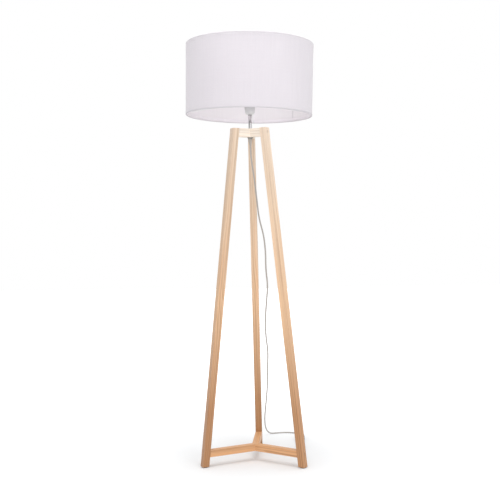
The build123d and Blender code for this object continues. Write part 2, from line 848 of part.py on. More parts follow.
switch_mouth = switch_parting
plug_axis = plug_height / 2
hank_exit = hank_bottom + hank_height - cord_diameter / 2 - slip
tail_route = [
    tuple(tail_point(hank_end, 0, hank_exit)),
    tuple(tail_point(hank_end + tail_gap * 0.33, 0, hank_exit)),
    tuple(tail_point(hank_end + tail_gap * 0.67, 0, switch_mouth)),
    tuple(tail_point(switch_start, 0, switch_mouth)),
]
lead_route = [
    tuple(tail_point(switch_end, 0, switch_mouth)),
    tuple(tail_point(switch_end + lead_straight, 0, switch_mouth)),
    tuple(tail_point(plug_start - lead_straight, 0, plug_axis)),
    tuple(tail_point(plug_start, 0, plug_axis)),
]


def corner_radii(route):
    """The largest arcs that leave a tenth of each run straight."""
    points = [Vector(*point) for point in route]
    radii = []
    for before, corner, after in zip(points, points[1:], points[2:]):
        turn = (corner - before).get_angle(after - corner)
        run = min((corner - before).length, (after - corner).length)
        radii.append(0.45 * run / tan(radians(turn / 2)))
    return radii


def make_cord(route):
    with BuildPart() as cord:
        with BuildLine():
            path = FilletPolyline(*route, radius=corner_radii(route))
        with BuildSketch(Plane(origin=path @ 0, z_dir=path % 0)):
            Circle(cord_diameter / 2)
        sweep(path=path)
    length = path.length
    section = pi * cord_diameter**2 / 4
    radii = ", ".join(f"{radius:.0f}" for radius in corner_radii(route))
    share = cord.part.volume / section / length
    print(f"cord length {length:.1f}, volume over section times length {share:.4f}")
    print(f"  arcs {radii}")
    return cord


save(make_cord(cord_route).part, "cord_hanging")
save(make_cord(tail_route).part, "cord_tail")
save(make_cord(lead_route).part, "cord_lead")


with BuildPart() as cord_hank:
    with BuildSketch(tail_plane(hank_start + hank_length / 2, 0, hank_bottom)):
        RectangleRounded(hank_length, hank_width, hank_corner)
    extrude(amount=hank_height)
    fillet(cord_hank.edges().group_by(Axis.Z)[-1], cord_diameter / 2)
    fillet(cord_hank.edges().group_by(Axis.Z)[0], cord_diameter / 2)
save(cord_hank.part, "cord_hank")

with BuildPart() as hank_tie:
    tie_start = hank_start + hank_length / 2 - tie_width / 2
    with BuildSketch(cross_plane(tie_start, 0, hank_bottom + hank_height / 2)):
        grown = 2 * (tie_thickness + slip)
        RectangleRounded(hank_width + grown, hank_height + grown, cord_diameter / 2 + tie_thickness)
        RectangleRounded(hank_width + 2 * slip, hank_height + 2 * slip, cord_diameter / 2, mode=Mode.SUBTRACT)
    extrude(amount=tie_width)
save(hank_tie.part, "hank_tie")


# ---------------------------------------------------------------- inline switch


def make_switch_block():
    """The whole outside of the switch housing."""
    with BuildPart() as block:
        with BuildSketch(tail_plane(switch_middle, 0, 0)):
            RectangleRounded(switch_length, switch_width, switch_width / 3)
        extrude(amount=switch_height)
        fillet(block.edges().group_by(Axis.Z)[-1], switch_round)
        chamfer(block.edges().group_by(Axis.Z)[0], switch_bevel)
    return block


screw_places = (switch_screw_inset - switch_length / 2, switch_length / 2 - switch_screw_inset)
screw_seat = switch_screw_recess + switch_screw_head_height

with BuildPart() as switch_base:
    add(make_switch_block())
    split(bisect_by=Plane.XY.offset(switch_parting), keep=Keep.BOTTOM)
    with BuildSketch(tail_plane(switch_middle, 0, switch_wall)):
        RectangleRounded(rocker_length + 6.0, switch_width - 2 * switch_wall, 3.0)
    extrude(amount=switch_parting - switch_wall, mode=Mode.SUBTRACT)
    for place in screw_places:
        with BuildSketch(tail_plane(switch_middle + place, 0, 0)):
            Circle(switch_screw_diameter / 2 + loose)
        extrude(amount=switch_parting, mode=Mode.SUBTRACT)
        with BuildSketch(tail_plane(switch_middle + place, 0, 0)):
            Circle(switch_screw_head / 2 + loose)
        extrude(amount=screw_seat, mode=Mode.SUBTRACT)
save(switch_base.part, "switch_base")

with BuildPart() as switch_cover:
    add(make_switch_block())
    split(bisect_by=Plane.XY.offset(switch_parting), keep=Keep.TOP)
    with BuildSketch(tail_plane(switch_middle, 0, switch_parting)):
        Rectangle(rocker_length + 3.0, rocker_width + 0.6)
    extrude(amount=switch_height, mode=Mode.SUBTRACT)
    for place in screw_places:
        with BuildSketch(tail_plane(switch_middle + place, 0, switch_parting)):
            Circle(switch_screw_diameter / 2 + slip)
        extrude(amount=switch_screw_grip + 1.0, mode=Mode.SUBTRACT)
    with BuildSketch(Plane(origin=tail_point(switch_middle, 0, rocker_pivot_height), z_dir=tail_across)):
        Circle(rocker_pivot_diameter / 2 + pivot_gap)
    extrude(amount=rocker_width / 2 + rocker_pin_reach + 2 * slip, both=True, mode=Mode.SUBTRACT)
save(switch_cover.part, "switch_cover")

with BuildPart() as switch_glands:
    for start, hand in ((switch_start, 1), (switch_end, -1)):
        with BuildSketch(cross_plane(start, 0, switch_mouth)):
            Circle(cord_diameter / 2 + gland_wall)
        with BuildSketch(cross_plane(start + hand * switch_collar_length, 0, switch_mouth)):
            Circle(cord_diameter / 2 + gland_root_wall)
        loft()
save(switch_glands.part, "switch_glands")

with BuildPart() as switch_rocker:
    pivot = tail_point(switch_middle, 0, rocker_pivot_height)
    tipped = tail_along * cos(radians(rocker_tilt)) + Vector(0, 0, sin(radians(rocker_tilt)))
    profile_plane = Plane(origin=pivot, x_dir=tipped, z_dir=tail_across * -1)
    half = rocker_length / 2
    with BuildSketch(profile_plane):
        with BuildLine():
            ThreePointArc((-half, rocker_rise), (0, rocker_rise - rocker_dish), (half, rocker_rise))
            Line((half, rocker_rise), (half - 2.0, 0))
            ThreePointArc((half - 2.0, 0), (0, -rocker_rise), (-half + 2.0, 0))
            Line((-half + 2.0, 0), (-half, rocker_rise))
        make_face()
    extrude(amount=rocker_width / 2, both=True)
    level_edges = switch_rocker.edges().filter_by(lambda edge: abs((edge % 0.5).dot(tail_across)) > 0.99)
    fillet(level_edges.group_by(Axis.Z)[-1], rocker_edge_radius)
    with BuildSketch(Plane(origin=pivot, z_dir=tail_across)):
        Circle(rocker_pivot_diameter / 2)
    extrude(amount=rocker_width / 2 + rocker_pin_reach, both=True)
save(switch_rocker.part, "switch_rocker")

with BuildPart() as switch_screws:
    for place in screw_places:
        with BuildSketch(tail_plane(switch_middle + place, 0, switch_screw_recess)):
            Circle(switch_screw_head / 2)
        extrude(amount=switch_screw_head_height)
        with BuildSketch(tail_plane(switch_middle + place, 0, screw_seat)):
            Circle(switch_screw_diameter / 2)
        extrude(amount=switch_parting + switch_screw_grip - screw_seat)
        with BuildSketch(tail_plane(switch_middle + place, 0, switch_screw_recess)):
            Rectangle(0.6 * switch_screw_head, 0.8)
            Rectangle(0.8, 0.6 * switch_screw_head)
        extrude(amount=0.55 * switch_screw_head_height, mode=Mode.SUBTRACT)
save(switch_screws.part, "switch_screws")


# ---------------------------------------------------------------- plug

with BuildPart() as plug_body:
    with BuildSketch(cross_plane(plug_start, 0, plug_axis)):
        Circle(cord_diameter / 2 + plug_relief_wall)
    with BuildSketch(cross_plane(plug_body_start, 0, plug_axis)):
        Circle(plug_relief_root / 2)
    loft()
    for groove in (1, 2, 3):
        with BuildSketch(cross_plane(plug_start + groove * plug_groove_spacing, 0, plug_axis)):
            Circle(plug_relief_root)
            Circle(cord_diameter / 2 + plug_relief_wall, mode=Mode.SUBTRACT)
        extrude(amount=plug_groove_width, mode=Mode.SUBTRACT)
    with BuildSketch(cross_plane(plug_body_start, 0, plug_axis)):
        RectangleRounded(plug_neck_width, plug_neck_height, plug_neck_round)
    with BuildSketch(cross_plane(plug_body_start + plug_length * 0.55, 0, plug_axis)):
        RectangleRounded(plug_width - 1.5, plug_height - 0.5, plug_neck_round)
    with BuildSketch(cross_plane(plug_face, 0, plug_axis)):
        RectangleRounded(plug_width, plug_height, plug_round)
    loft()
save(plug_body.part, "plug_body")

with BuildPart() as plug_blades:
    for hand in (-1, 1):
        with BuildSketch(cross_plane(plug_face, hand * blade_spacing / 2, plug_axis)):
            Rectangle(blade_thickness, blade_width)
        blade = extrude(amount=blade_length)
        hole = tail_point(plug_face + blade_length - blade_hole_inset, 0, plug_axis)
        with BuildSketch(Plane(origin=hole, z_dir=tail_across)):
            Circle(blade_hole / 2)
        extrude(amount=blade_spacing, both=True, mode=Mode.SUBTRACT)
save(plug_blades.part, "plug_blades")
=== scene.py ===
from math import acos, cos, pi, radians, sin, tau

import bmesh
import bpy
import numpy as np
from bpy.props import FloatProperty, FloatVectorProperty, PointerProperty
from mathutils import Matrix, Vector


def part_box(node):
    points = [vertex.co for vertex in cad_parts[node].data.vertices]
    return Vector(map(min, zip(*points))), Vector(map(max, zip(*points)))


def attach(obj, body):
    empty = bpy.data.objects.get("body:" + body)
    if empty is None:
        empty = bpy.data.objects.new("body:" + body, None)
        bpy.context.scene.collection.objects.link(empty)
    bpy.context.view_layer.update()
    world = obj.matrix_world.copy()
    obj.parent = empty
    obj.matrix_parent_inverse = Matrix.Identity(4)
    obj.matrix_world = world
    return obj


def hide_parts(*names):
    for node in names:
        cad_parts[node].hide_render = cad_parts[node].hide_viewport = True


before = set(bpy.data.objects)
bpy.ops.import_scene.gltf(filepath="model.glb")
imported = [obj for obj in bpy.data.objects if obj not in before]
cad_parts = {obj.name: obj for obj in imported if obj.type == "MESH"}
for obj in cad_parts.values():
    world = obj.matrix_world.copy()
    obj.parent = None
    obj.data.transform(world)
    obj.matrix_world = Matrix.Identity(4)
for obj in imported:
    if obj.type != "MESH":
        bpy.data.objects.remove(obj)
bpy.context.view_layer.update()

bl_info = {
    "name": "Tripod Floor Lamp",
    "version": (1, 0, 0),
    "blender": (4, 5, 0),
    "location": "View3D > Sidebar > Floor Lamp",
    "description": "Dresses a three-legged floor lamp with a drum shade",
    "category": "Object",
}


# ------------------------------------------------------------------ sizes shared by the pieces

# Azimuth of each leg in degrees, and how far its middle line is from the lamp's axis at foot and head.
LEGS = {"left": 210.0, "right": 330.0, "rear": 90.0}
FOOT_REACH = 0.205
HEAD_REACH = 0.060
LEG_TOP = max(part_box(f"leg_{side}")[1].z for side in LEGS)
HEAD_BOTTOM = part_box("head_rail_rear")[0].z
STRETCHER_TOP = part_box("stretcher_rail_rear")[1].z
STRETCHER_DEPTH = 0.025

SHADE_LOW, SHADE_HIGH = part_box("shade_cover")
SHADE_RADIUS = round((SHADE_HIGH.x - SHADE_LOW.x) / 2, 3)

# The cord leaves the grip downwards. The bundle, switch and plug lie along one line on the floor, and their
# places are distances along it and heights over the floor.
TAIL_HEADING = radians(-87.7)
TAIL_ORIGIN = Vector((0.1615, 0.2810, 0))
TAIL_ALONG = Vector((cos(TAIL_HEADING), sin(TAIL_HEADING), 0))
TAIL_ACROSS = Vector((-sin(TAIL_HEADING), cos(TAIL_HEADING), 0))
BUNDLE_MIDDLE = -0.016
BUNDLE_LOW = 0.00365
BUNDLE_LAYER = 0.0055
SWITCH_START = 0.0625
SWITCH_LENGTH = 0.084
SWITCH_AXIS = 0.011
PLUG_AXIS = 0.009


def away(side):
    """The level direction from the lamp's axis to a leg: the cosine and sine of its azimuth."""
    azimuth = radians(LEGS[side])
    return Vector((cos(azimuth), sin(azimuth), 0))


def on_tail(along, across, height):
    """A place so far along the bundle's line, so far beside it and so high above the floor."""
    return TAIL_ORIGIN + TAIL_ALONG * along + TAIL_ACROSS * across + Vector((0, 0, height))


# ------------------------------------------------------------------ settings


class TimberSettings(bpy.types.PropertyGroup):
    pale: FloatVectorProperty(
        name="Early wood", description="Colour of the soft, pale part of each growth ring",
        subtype="COLOR", size=3, default=(0.715, 0.500, 0.330), min=0, max=1)
    dark: FloatVectorProperty(
        name="Late wood", description="Colour of the hard, dark part of each growth ring",
        subtype="COLOR", size=3, default=(0.560, 0.345, 0.190), min=0, max=1)
    ring_pitch: FloatProperty(
        name="Ring pitch", description="Distance from one growth ring to the next",
        unit="LENGTH", default=0.0040, min=0.0005, max=0.02, precision=4)
    # Painted light: the three tints darken the wood at the feet and pale it towards the heads, as the light
    # falls.
    painted_shade_at_foot: FloatVectorProperty(
        name="Tint at the foot", description="What the wood's colour is multiplied by at the foot of a leg",
        subtype="COLOR", size=3, default=(0.67, 0.51, 0.37), min=0, max=2)
    painted_light_halfway: FloatVectorProperty(
        name="Tint halfway", description="What the wood's colour is multiplied by halfway up a leg",
        subtype="COLOR", size=3, default=(1.14, 1.12, 1.10), min=0, max=2)
    painted_light_at_head: FloatVectorProperty(
        name="Tint at the head", description="What the wood's colour is multiplied by at the head of a leg",
        subtype="COLOR", size=3, default=(1.24, 1.52, 1.92), min=0, max=2)
    roughness: FloatProperty(
        name="Lacquer roughness", description="How dull the satin lacquer is",
        subtype="FACTOR", default=0.46, min=0, max=1)


class ShadeSettings(bpy.types.PropertyGroup):
    cloth: FloatVectorProperty(
        name="Cloth", description="Colour of the shade's woven face",
        subtype="COLOR", size=3, default=(0.762, 0.722, 0.760), min=0, max=1)
    lining: FloatVectorProperty(
        name="Lining", description="Colour of the smooth lining inside the shade",
        subtype="COLOR", size=3, default=(0.800, 0.768, 0.793), min=0, max=1)
    thread_pitch: FloatProperty(
        name="Thread pitch", description="Distance from one thread of the weave to the next",
        unit="LENGTH", default=0.0009, min=0.0002, max=0.01, precision=4)
    cloth_thickness: FloatProperty(
        name="Cover thickness", description="Cloth and lining together",
        unit="LENGTH", default=0.0008, min=0.0002, max=0.01, precision=4)
    lean: FloatProperty(
        name="Lean", description="How far the shade hangs out of level, low on its right",
        unit="ROTATION", default=radians(1.6), min=-0.1, max=0.1)
    seam_width: FloatProperty(
        name="Seam width", description="How far the cover's two ends overlap",
        unit="LENGTH", default=0.011, min=0.002, max=0.05, precision=3)


class HardwareSettings(bpy.types.PropertyGroup):
    holder: FloatVectorProperty(
        name="Lampholder", description="Colour of the moulded lampholder",
        subtype="COLOR", size=3, default=(0.68, 0.675, 0.68), min=0, max=1)
    chrome: FloatVectorProperty(
        name="Chrome", description="Colour of the plated stem",
        subtype="COLOR", size=3, default=(0.86, 0.85, 0.86), min=0, max=1)
    thread_pitch: FloatProperty(
        name="Lamp thread", description="Pitch of the bulb's screw cap",
        unit="LENGTH", default=0.0036, min=0.001, max=0.01, precision=4)


class CordSettings(bpy.types.PropertyGroup):
    diameter: FloatProperty(
        name="Diameter", description="Outside diameter of the supply cord",
        unit="LENGTH", default=0.0055, min=0.002, max=0.02, precision=4)
    sheath: FloatVectorProperty(
        name="Sheath", description="Colour of the cord and of what is moulded on it",
        subtype="COLOR", size=3, default=(0.470, 0.440, 0.415), min=0, max=1)


class StageSettings(bpy.types.PropertyGroup):
    overhead: FloatProperty(
        name="Overhead light", description="Power of the large light above",
        unit="POWER", default=43.0, min=0, max=1000)
    front: FloatProperty(
        name="Front light", description="Power of the large light beside the camera",
        unit="POWER", default=38.0, min=0, max=1000)
    fill: FloatProperty(
        name="Fill light", description="Power of the small light opposite, for the shade's inside",
        unit="POWER", default=6.0, min=0, max=1000)
    ambient: FloatProperty(
        name="Room light", description="Strength of the even light from all round",
        default=0.79, min=0, max=2)


# ------------------------------------------------------------------ surfaces


def mesh_piece(name, vertices, faces, material, body, slot, uv=None, face_materials=None):
    """Puts arrays of corners and faces in a mesh with one material or a list of them, which the faces choose
    from by number, and lets the piece ride on a body of the lamp."""
    mesh = bpy.data.meshes.new(name)
    mesh.from_pydata(np.asarray(vertices, float).reshape(-1, 3).tolist(), [], [list(f) for f in faces])
    materials = material if isinstance(material, list) else [material]
    for entry in materials:
        mesh.materials.append(entry)
    if face_materials is not None:
        mesh.polygons.foreach_set("material_index", np.asarray(face_materials, np.int32))
    mesh.polygons.foreach_set("use_smooth", np.ones(len(mesh.polygons), bool))
    if uv is not None:
        layer = mesh.uv_layers.new(name="Cloth")
        layer.data.foreach_set("uv", np.asarray(uv, np.float32).ravel())
    mesh.validate()
    mesh.update()
    piece = bpy.data.objects.new(name, mesh)
    bpy.context.scene.collection.objects.link(piece)
    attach(piece, body)
    return piece


def grid_faces(rows, columns, close_rows=False, close_columns=False):
    """Quads of a grid: corner (i, j) joins (i, j+1), (i+1, j+1) and (i+1, j), wrapping where it is closed."""
    i, j = np.meshgrid(
        np.arange(rows if close_rows else rows - 1),
        np.arange(columns if close_columns else columns - 1), indexing="ij")
    down, right = (i + 1) % rows, (j + 1) % columns
    quads = np.stack([i * columns + j, i * columns + right, down * columns + right, down * columns + j], -1)
    return quads.reshape(-1, 4)


def turned(profile, sides=96, relief=None, angles=None):
    """A turned surface: the point (r, z) of a profile goes to (r cos a, r sin a, z) for a full turn of a.

    The turn has equal sides unless its angles are given. A relief is a function of the whole arrays a, r
    and z that gives new r and z. A profile that starts and ends on the axis gets one corner at each pole;
    any other profile is taken as a closed loop. The sign of the profile's area tells which way round it
    runs, and the faces are turned outwards by it.
    """
    profile = np.asarray(profile, float)
    on_axis = profile[0, 0] < 1e-9 and profile[-1, 0] < 1e-9
    ring = profile[1:-1] if on_axis else profile
    angle = np.arange(sides) * tau / sides if angles is None else np.asarray(angles, float)
    sides = len(angle)
    r = np.repeat(ring[:, :1], sides, 1)
    z = np.repeat(ring[:, 1:], sides, 1)
    a = np.broadcast_to(angle, r.shape)
    if relief is not None:
        r, z = relief(a, r, z)
    points = np.stack([r * np.cos(a), r * np.sin(a), z], -1).reshape(-1, 3)
    faces = grid_faces(len(ring), sides, not on_axis, True).tolist()
    if on_axis:
        first_pole, last_pole = len(points), len(points) + 1
        points = np.vstack([points, [(0, 0, profile[0, 1]), (0, 0, profile[-1, 1])]])
        here = np.arange(sides)
        following = (here + 1) % sides
        last_ring = (len(ring) - 1) * sides
        faces += np.stack([np.full(sides, first_pole), following, here], -1).tolist()
        faces += np.stack([np.full(sides, last_pole), last_ring + here, last_ring + following], -1).tolist()
        outline = profile
    else:
        outline = np.vstack([profile, profile[:1]])
    area = np.sum(outline[:-1, 0] * outline[1:, 1] - outline[1:, 0] * outline[:-1, 1])
    if area < 0:
        faces = [face[::-1] for face in faces]
    return points, faces


def rounded(corners, radius, steps):
    """A closed outline with each corner cut back by a radius, or by 0.45 of its shorter side where that is
    less, and bridged by a quadratic arc (1-t)^2 start + 2t(1-t) corner + t^2 end of a few steps."""
    corners = np.asarray(corners, float)
    radius = np.broadcast_to(np.asarray(radius, float), len(corners))
    before = np.roll(corners, 1, 0) - corners
    after = np.roll(corners, -1, 0) - corners
    before_length = np.linalg.norm(before, axis=1)
    after_length = np.linalg.norm(after, axis=1)
    cut = np.minimum(radius, 0.45 * np.minimum(before_length, after_length))[:, None]
    start = corners + before / before_length[:, None] * cut
    end = corners + after / after_length[:, None] * cut
    t = np.linspace(0, 1, steps + 1)[None, :, None]
    arcs = (1 - t) ** 2 * start[:, None] + 2 * t * (1 - t) * corners[:, None] + t**2 * end[:, None]
    return arcs.reshape(-1, 2)


def sleeve(node, bore, radius, steps):
    """The outline of a tube as long and as wide as a node of the lamp, with its four corners rounded."""
    low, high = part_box(node)
    return rounded([(bore, low.z), (high.x, low.z), (high.x, high.z), (bore, high.z)], radius, steps)


def thread(start, end, least, pitch, depth, sharpness, run_in, run_out=0.0):
    """The relief of a screw thread, where r is over the least radius and z lies from start to end.

    The wave is half of one less a cosine that turns once for each pitch of height and once round the axis,
    raised to its sharpness, and r drops by the depth times it. Near both ends the wave fades and an even cut
    by the run-out takes over: the fade is the distance from the end, plus the run-out, over the run-in.
    """
    def relief(a, r, z):
        wave = (0.5 - 0.5 * np.cos((z / pitch - a / tau) * tau)) ** sharpness
        fade = np.clip((np.minimum(z - start, end - z) + run_out) / run_in, 0, 1)
        cut = depth * wave * fade + run_out * (1 - fade)
        return r - np.where((z >= start) & (z <= end) & (r > least), cut, 0), z
    return relief


def leaned(points, weight=1.0):
    """Tips the shade about its middle: x goes to x cos t + h sin t and h to h cos t - x sin t, where h is the
    height over the middle and t the lean, times a weight for each point."""
    t = bpy.context.scene.lamp_shade.lean * weight
    middle = (SHADE_LOW.z + SHADE_HIGH.z) / 2
    x, h = points[:, 0], points[:, 2] - middle
    return np.stack([x * np.cos(t) + h * np.sin(t), points[:, 1], h * np.cos(t) - x * np.sin(t) + middle], 1)


def laid_on_tail(points, along, height):
    """Lays a surface turned about Z so that its axis runs along the bundle's line, at a distance along it and
    a height over the floor: x goes across, y up and z along."""
    points = np.asarray(points, float)
    start = np.array(on_tail(along, 0, height))
    up = np.array((0, 0, 1.0))
    across, ahead = np.array(TAIL_ACROSS), np.array(TAIL_ALONG)
    return start + points[:, :1] * across + points[:, 1:2] * up + points[:, 2:] * ahead


def merged(name):
    """The corners and faces of one of the lamp's nodes, with its doubled corners merged."""
    work = bmesh.new()
    work.from_mesh(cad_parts[name].data)
    bmesh.ops.transform(work, matrix=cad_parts[name].matrix_world, verts=work.verts)
    bmesh.ops.remove_doubles(work, verts=work.verts, dist=1e-6)
    points = np.array([vertex.co[:] for vertex in work.verts])
    faces = [[vertex.index for vertex in face.verts] for face in work.faces]
    work.free()
    return points, faces


def joined(parts):
    """Several (corners, faces) pairs as one."""
    corners, faces, start = [], [], 0
    for points, quads in parts:
        corners.append(points)
        faces += [[k + start for k in face] for face in quads]
        start += len(points)
    return np.vstack(corners), faces


def outward(piece):
    """Turns every face of a finished piece outwards."""
    work = bmesh.new()
    work.from_mesh(piece.data)
    bmesh.ops.recalc_face_normals(work, faces=work.faces)
    work.to_mesh(piece.data)
    work.free()


# ------------------------------------------------------------------ finishes


class Nodes:
    """Short calls for the nodes of a material or of the world."""

    def __init__(self, tree):
        self.tree = tree

    def put(self, socket, value):
        """Feeds a socket from a node's output, or gives it a plain value."""
        if isinstance(value, bpy.types.NodeSocket):
            self.tree.links.new(value, socket)
        else:
            socket.default_value = value

    def node(self, kind, inputs=(), **options):
        """Adds a node with its options and inputs, the inputs by name or number."""
        node = self.tree.nodes.new("ShaderNode" + kind)
        for key, value in options.items():
            setattr(node, key, value)
        for key, value in dict(inputs).items():
            self.put(node.inputs[key], value)
        return node

    def math(self, operation, a, b=0.0):
        """One sum on one or two values."""
        return self.node("Math", {0: a, 1: b}, operation=operation).outputs[0]

    def remap(self, value, low, high, to_low, to_high):
        """A value's span from low to high laid evenly on another, and held at its ends."""
        spans = {"From Min": low, "From Max": high, "To Min": to_low, "To Max": to_high}
        return self.node("MapRange", {"Value": value, **spans}).outputs["Result"]

    def seen_by(self, ray):
        """One for rays from the camera and for one other kind of ray, and nothing for the rest."""
        path = self.node("LightPath")
        return self.math("MAXIMUM", path.outputs["Is Camera Ray"], path.outputs[f"Is {ray} Ray"])


class Finish(Nodes):
    """A material under construction."""

    def __init__(self, name, **shader):
        self.material = bpy.data.materials.new(name)
        self.material.use_nodes = True
        super().__init__(self.material.node_tree)
        self.shader = self.tree.nodes["Principled BSDF"]
        for key, value in shader.items():
            self.set(key.replace("_", " "), value)

    def set(self, key, value):
        """Sets one socket of the shader, or feeds it from a node's output."""
        self.put(self.shader.inputs[key], value)

    def milky(self, weight, radius, scale):
        """Lets light into the surface, to a depth in metres that differs for red, green and blue."""
        self.set("Subsurface Weight", weight)
        self.set("Subsurface Radius", radius)
        self.set("Subsurface Scale", scale)

    def place(self):
        """A point's place on the lamp, in metres."""
        return self.node("TexCoord").outputs["Object"]

    def split(self, vector):
        """The three parts of a vector."""
        return self.node("SeparateXYZ", {0: vector}).outputs

    def noise(self, vector, scale, detail=2.0, roughness=0.5):
        """Cloudy noise, at one scale or at a scale of its own along each axis."""
        if isinstance(scale, tuple):
            vector = self.node("VectorMath", {0: vector, 1: scale}, operation="MULTIPLY").outputs[0]
            scale = 1.0
        return self.node(
            "TexNoise", {"Vector": vector, "Scale": scale, "Detail": detail, "Roughness": roughness}
        ).outputs["Fac"]

    def spread(self, noise, low, high):
        """Lays most of a noise, which lies between 0.3 and 0.7, on the span from low to high."""
        return self.remap(noise, 0.3, 0.7, low, high)

    def ramp(self, value, stops):
        """The colour at a value from nothing to one, between the colours at the stops."""
        node = self.node("ValToRGB", {"Fac": value})
        while len(node.color_ramp.elements) < len(stops):
            node.color_ramp.elements.new(0.5)
        for element, (place, colour) in zip(node.color_ramp.elements, stops):
            element.position = place
            element.color = (*colour, 1)
        return node.outputs["Color"]

    def mix(self, factor, a, b, blend="MIX"):
        """Goes from colour a to colour b as the factor goes from nothing to one."""
        node = self.node("Mix", {0: factor}, data_type="RGBA", blend_type=blend)
        for key, colour in ((6, a), (7, b)):
            self.put(node.inputs[key], colour if isinstance(colour, bpy.types.NodeSocket) else (*colour, 1))
        return node.outputs[2]

    def tinted(self, colour, tint, share=1.0):
        """A colour multiplied by another, to a share of the full effect."""
        return self.mix(share, colour, tint, "MULTIPLY")

    def grey(self, value):
        """A value as a colour."""
        return self.node("CombineColor", {0: value, 1: value, 2: value}).outputs[0]

    def bump(self, height, distance, strength=1.0):
        """Tilts the surface as if heights from nothing to one were so many metres apart."""
        bump = self.node("Bump", {"Height": height, "Distance": distance, "Strength": strength})
        self.set("Normal", bump.outputs["Normal"])


def toned(colour, share):
    """A colour made darker or lighter by a share, and never brighter than white."""
    return tuple(min(1, c * share) for c in colour)


def wood_finish(name, centre, along, pith, tone=1.0, warmth=0.0, contrast=1.0):
    """Lacquered softwood.

    In the bar's own axes, z along the grain, growth rings are the distance from the pith line, wavering
    slowly along the grain, counted in ring pitches: each ring darkens slowly to its late wood and ends
    sharply. Long fibres lighten and darken it, and the late wood stands a little proud. From the foot of a
    leg to its head the wood grows paler and its streaks fainter: the paling is painted light, with painted
    shade at the foot.
    """
    look = bpy.context.scene.lamp_timber
    finish = Finish(name)
    turn = Vector(along).to_track_quat("Z", "Y").to_euler()
    own = finish.node(
        "Mapping", {"Vector": finish.place(), "Location": centre, "Rotation": turn}, vector_type="TEXTURE"
    ).outputs[0]

    waver = finish.noise(own, (9, 9, 1.7))
    drift = finish.noise(own, (45, 45, 5))
    fibre = finish.noise(own, (1150, 1150, 14), 3.0, 0.6)
    streak = finish.noise(own, (210, 210, 2.0))
    broad = finish.noise(own, (22, 22, 1.1), 1.0)

    x, y, _ = finish.split(own)
    dx = finish.math("SUBTRACT", x, pith[0])
    dy = finish.math("SUBTRACT", y, pith[1])
    squares = finish.math("ADD", finish.math("MULTIPLY", dx, dx), finish.math("MULTIPLY", dy, dy))
    reach = finish.math("SQRT", squares)
    reach = finish.math("ADD", reach, finish.math("MULTIPLY", waver, 0.030))
    reach = finish.math("ADD", reach, finish.math("MULTIPLY", drift, 0.0028))
    ring = finish.math("FRACT", finish.math("DIVIDE", reach, look.ring_pitch))
    darkening = ((0.0, 0.06), (0.45, 0.22), (0.80, 0.82), (0.93, 1.0), (1.0, 0.10))
    late = finish.ramp(ring, [(place, (grey,) * 3) for place, grey in darkening])

    warmer = (1 + warmth, 1.0, 1 - warmth)
    pale = [c * tone * w for c, w in zip(look.pale, warmer)]
    dark = [c * tone * w for c, w in zip(look.dark, warmer)]
    amount = finish.math("MULTIPLY", late, finish.spread(broad, 0.55 * contrast, 0.95 * contrast))
    colour = finish.mix(amount, pale, dark)

    # Painted light: the tints by height darken the wood near the foot and pale it towards the head.
    height = finish.split(finish.place())[2]
    rise = finish.remap(height, 0.0, LEG_TOP, 0.0, 1.0)
    painted_light_tints = [(0.16, look.painted_shade_at_foot), (0.50, look.painted_light_halfway), (1.0, look.painted_light_at_head)]
    colour = finish.tinted(colour, finish.ramp(rise, painted_light_tints))
    streaks = finish.ramp(streak, [
        (0.30, (0.80, 0.73, 0.67)), (0.47, (0.97, 0.96, 0.94)),
        (0.58, (1.04, 1.04, 1.03)), (0.70, (0.98, 0.90, 0.84))])
    colour = finish.tinted(colour, streaks, finish.remap(height, 0.55 * LEG_TOP, LEG_TOP, 1.0, 0.45))
    value = finish.remap(fibre, 0.25, 0.75, 0.93, 1.05)
    value = finish.math("ADD", value, finish.spread(streak, -0.07, 0.05))
    value = finish.math("ADD", value, finish.spread(broad, -0.05, 0.05))
    finish.set("Base Color", finish.tinted(colour, finish.grey(value)))

    finish.set("Roughness", finish.spread(fibre, look.roughness + 0.07, look.roughness - 0.05))
    finish.set("Coat Weight", 0.12)
    finish.set("Coat Roughness", 0.32)
    relief = finish.math("ADD", finish.math("MULTIPLY", late, 0.6), finish.math("MULTIPLY", fibre, 0.5))
    finish.bump(relief, 0.00012, 0.8)
    return finish.material


def felt_finish():
    """Pressed wool: tangled fibres in fine noise over a clouded grey-brown."""
    finish = Finish("Felt", Roughness=0.95, Sheen_Weight=0.5, Sheen_Roughness=0.5)
    fibres = finish.noise(finish.place(), 1400, 6.0, 0.75)
    clouds = finish.noise(finish.place(), 160)
    finish.set("Base Color", finish.mix(clouds, (0.13, 0.115, 0.10), (0.20, 0.175, 0.15)))
    finish.bump(fibres, 0.0006)
    return finish.material


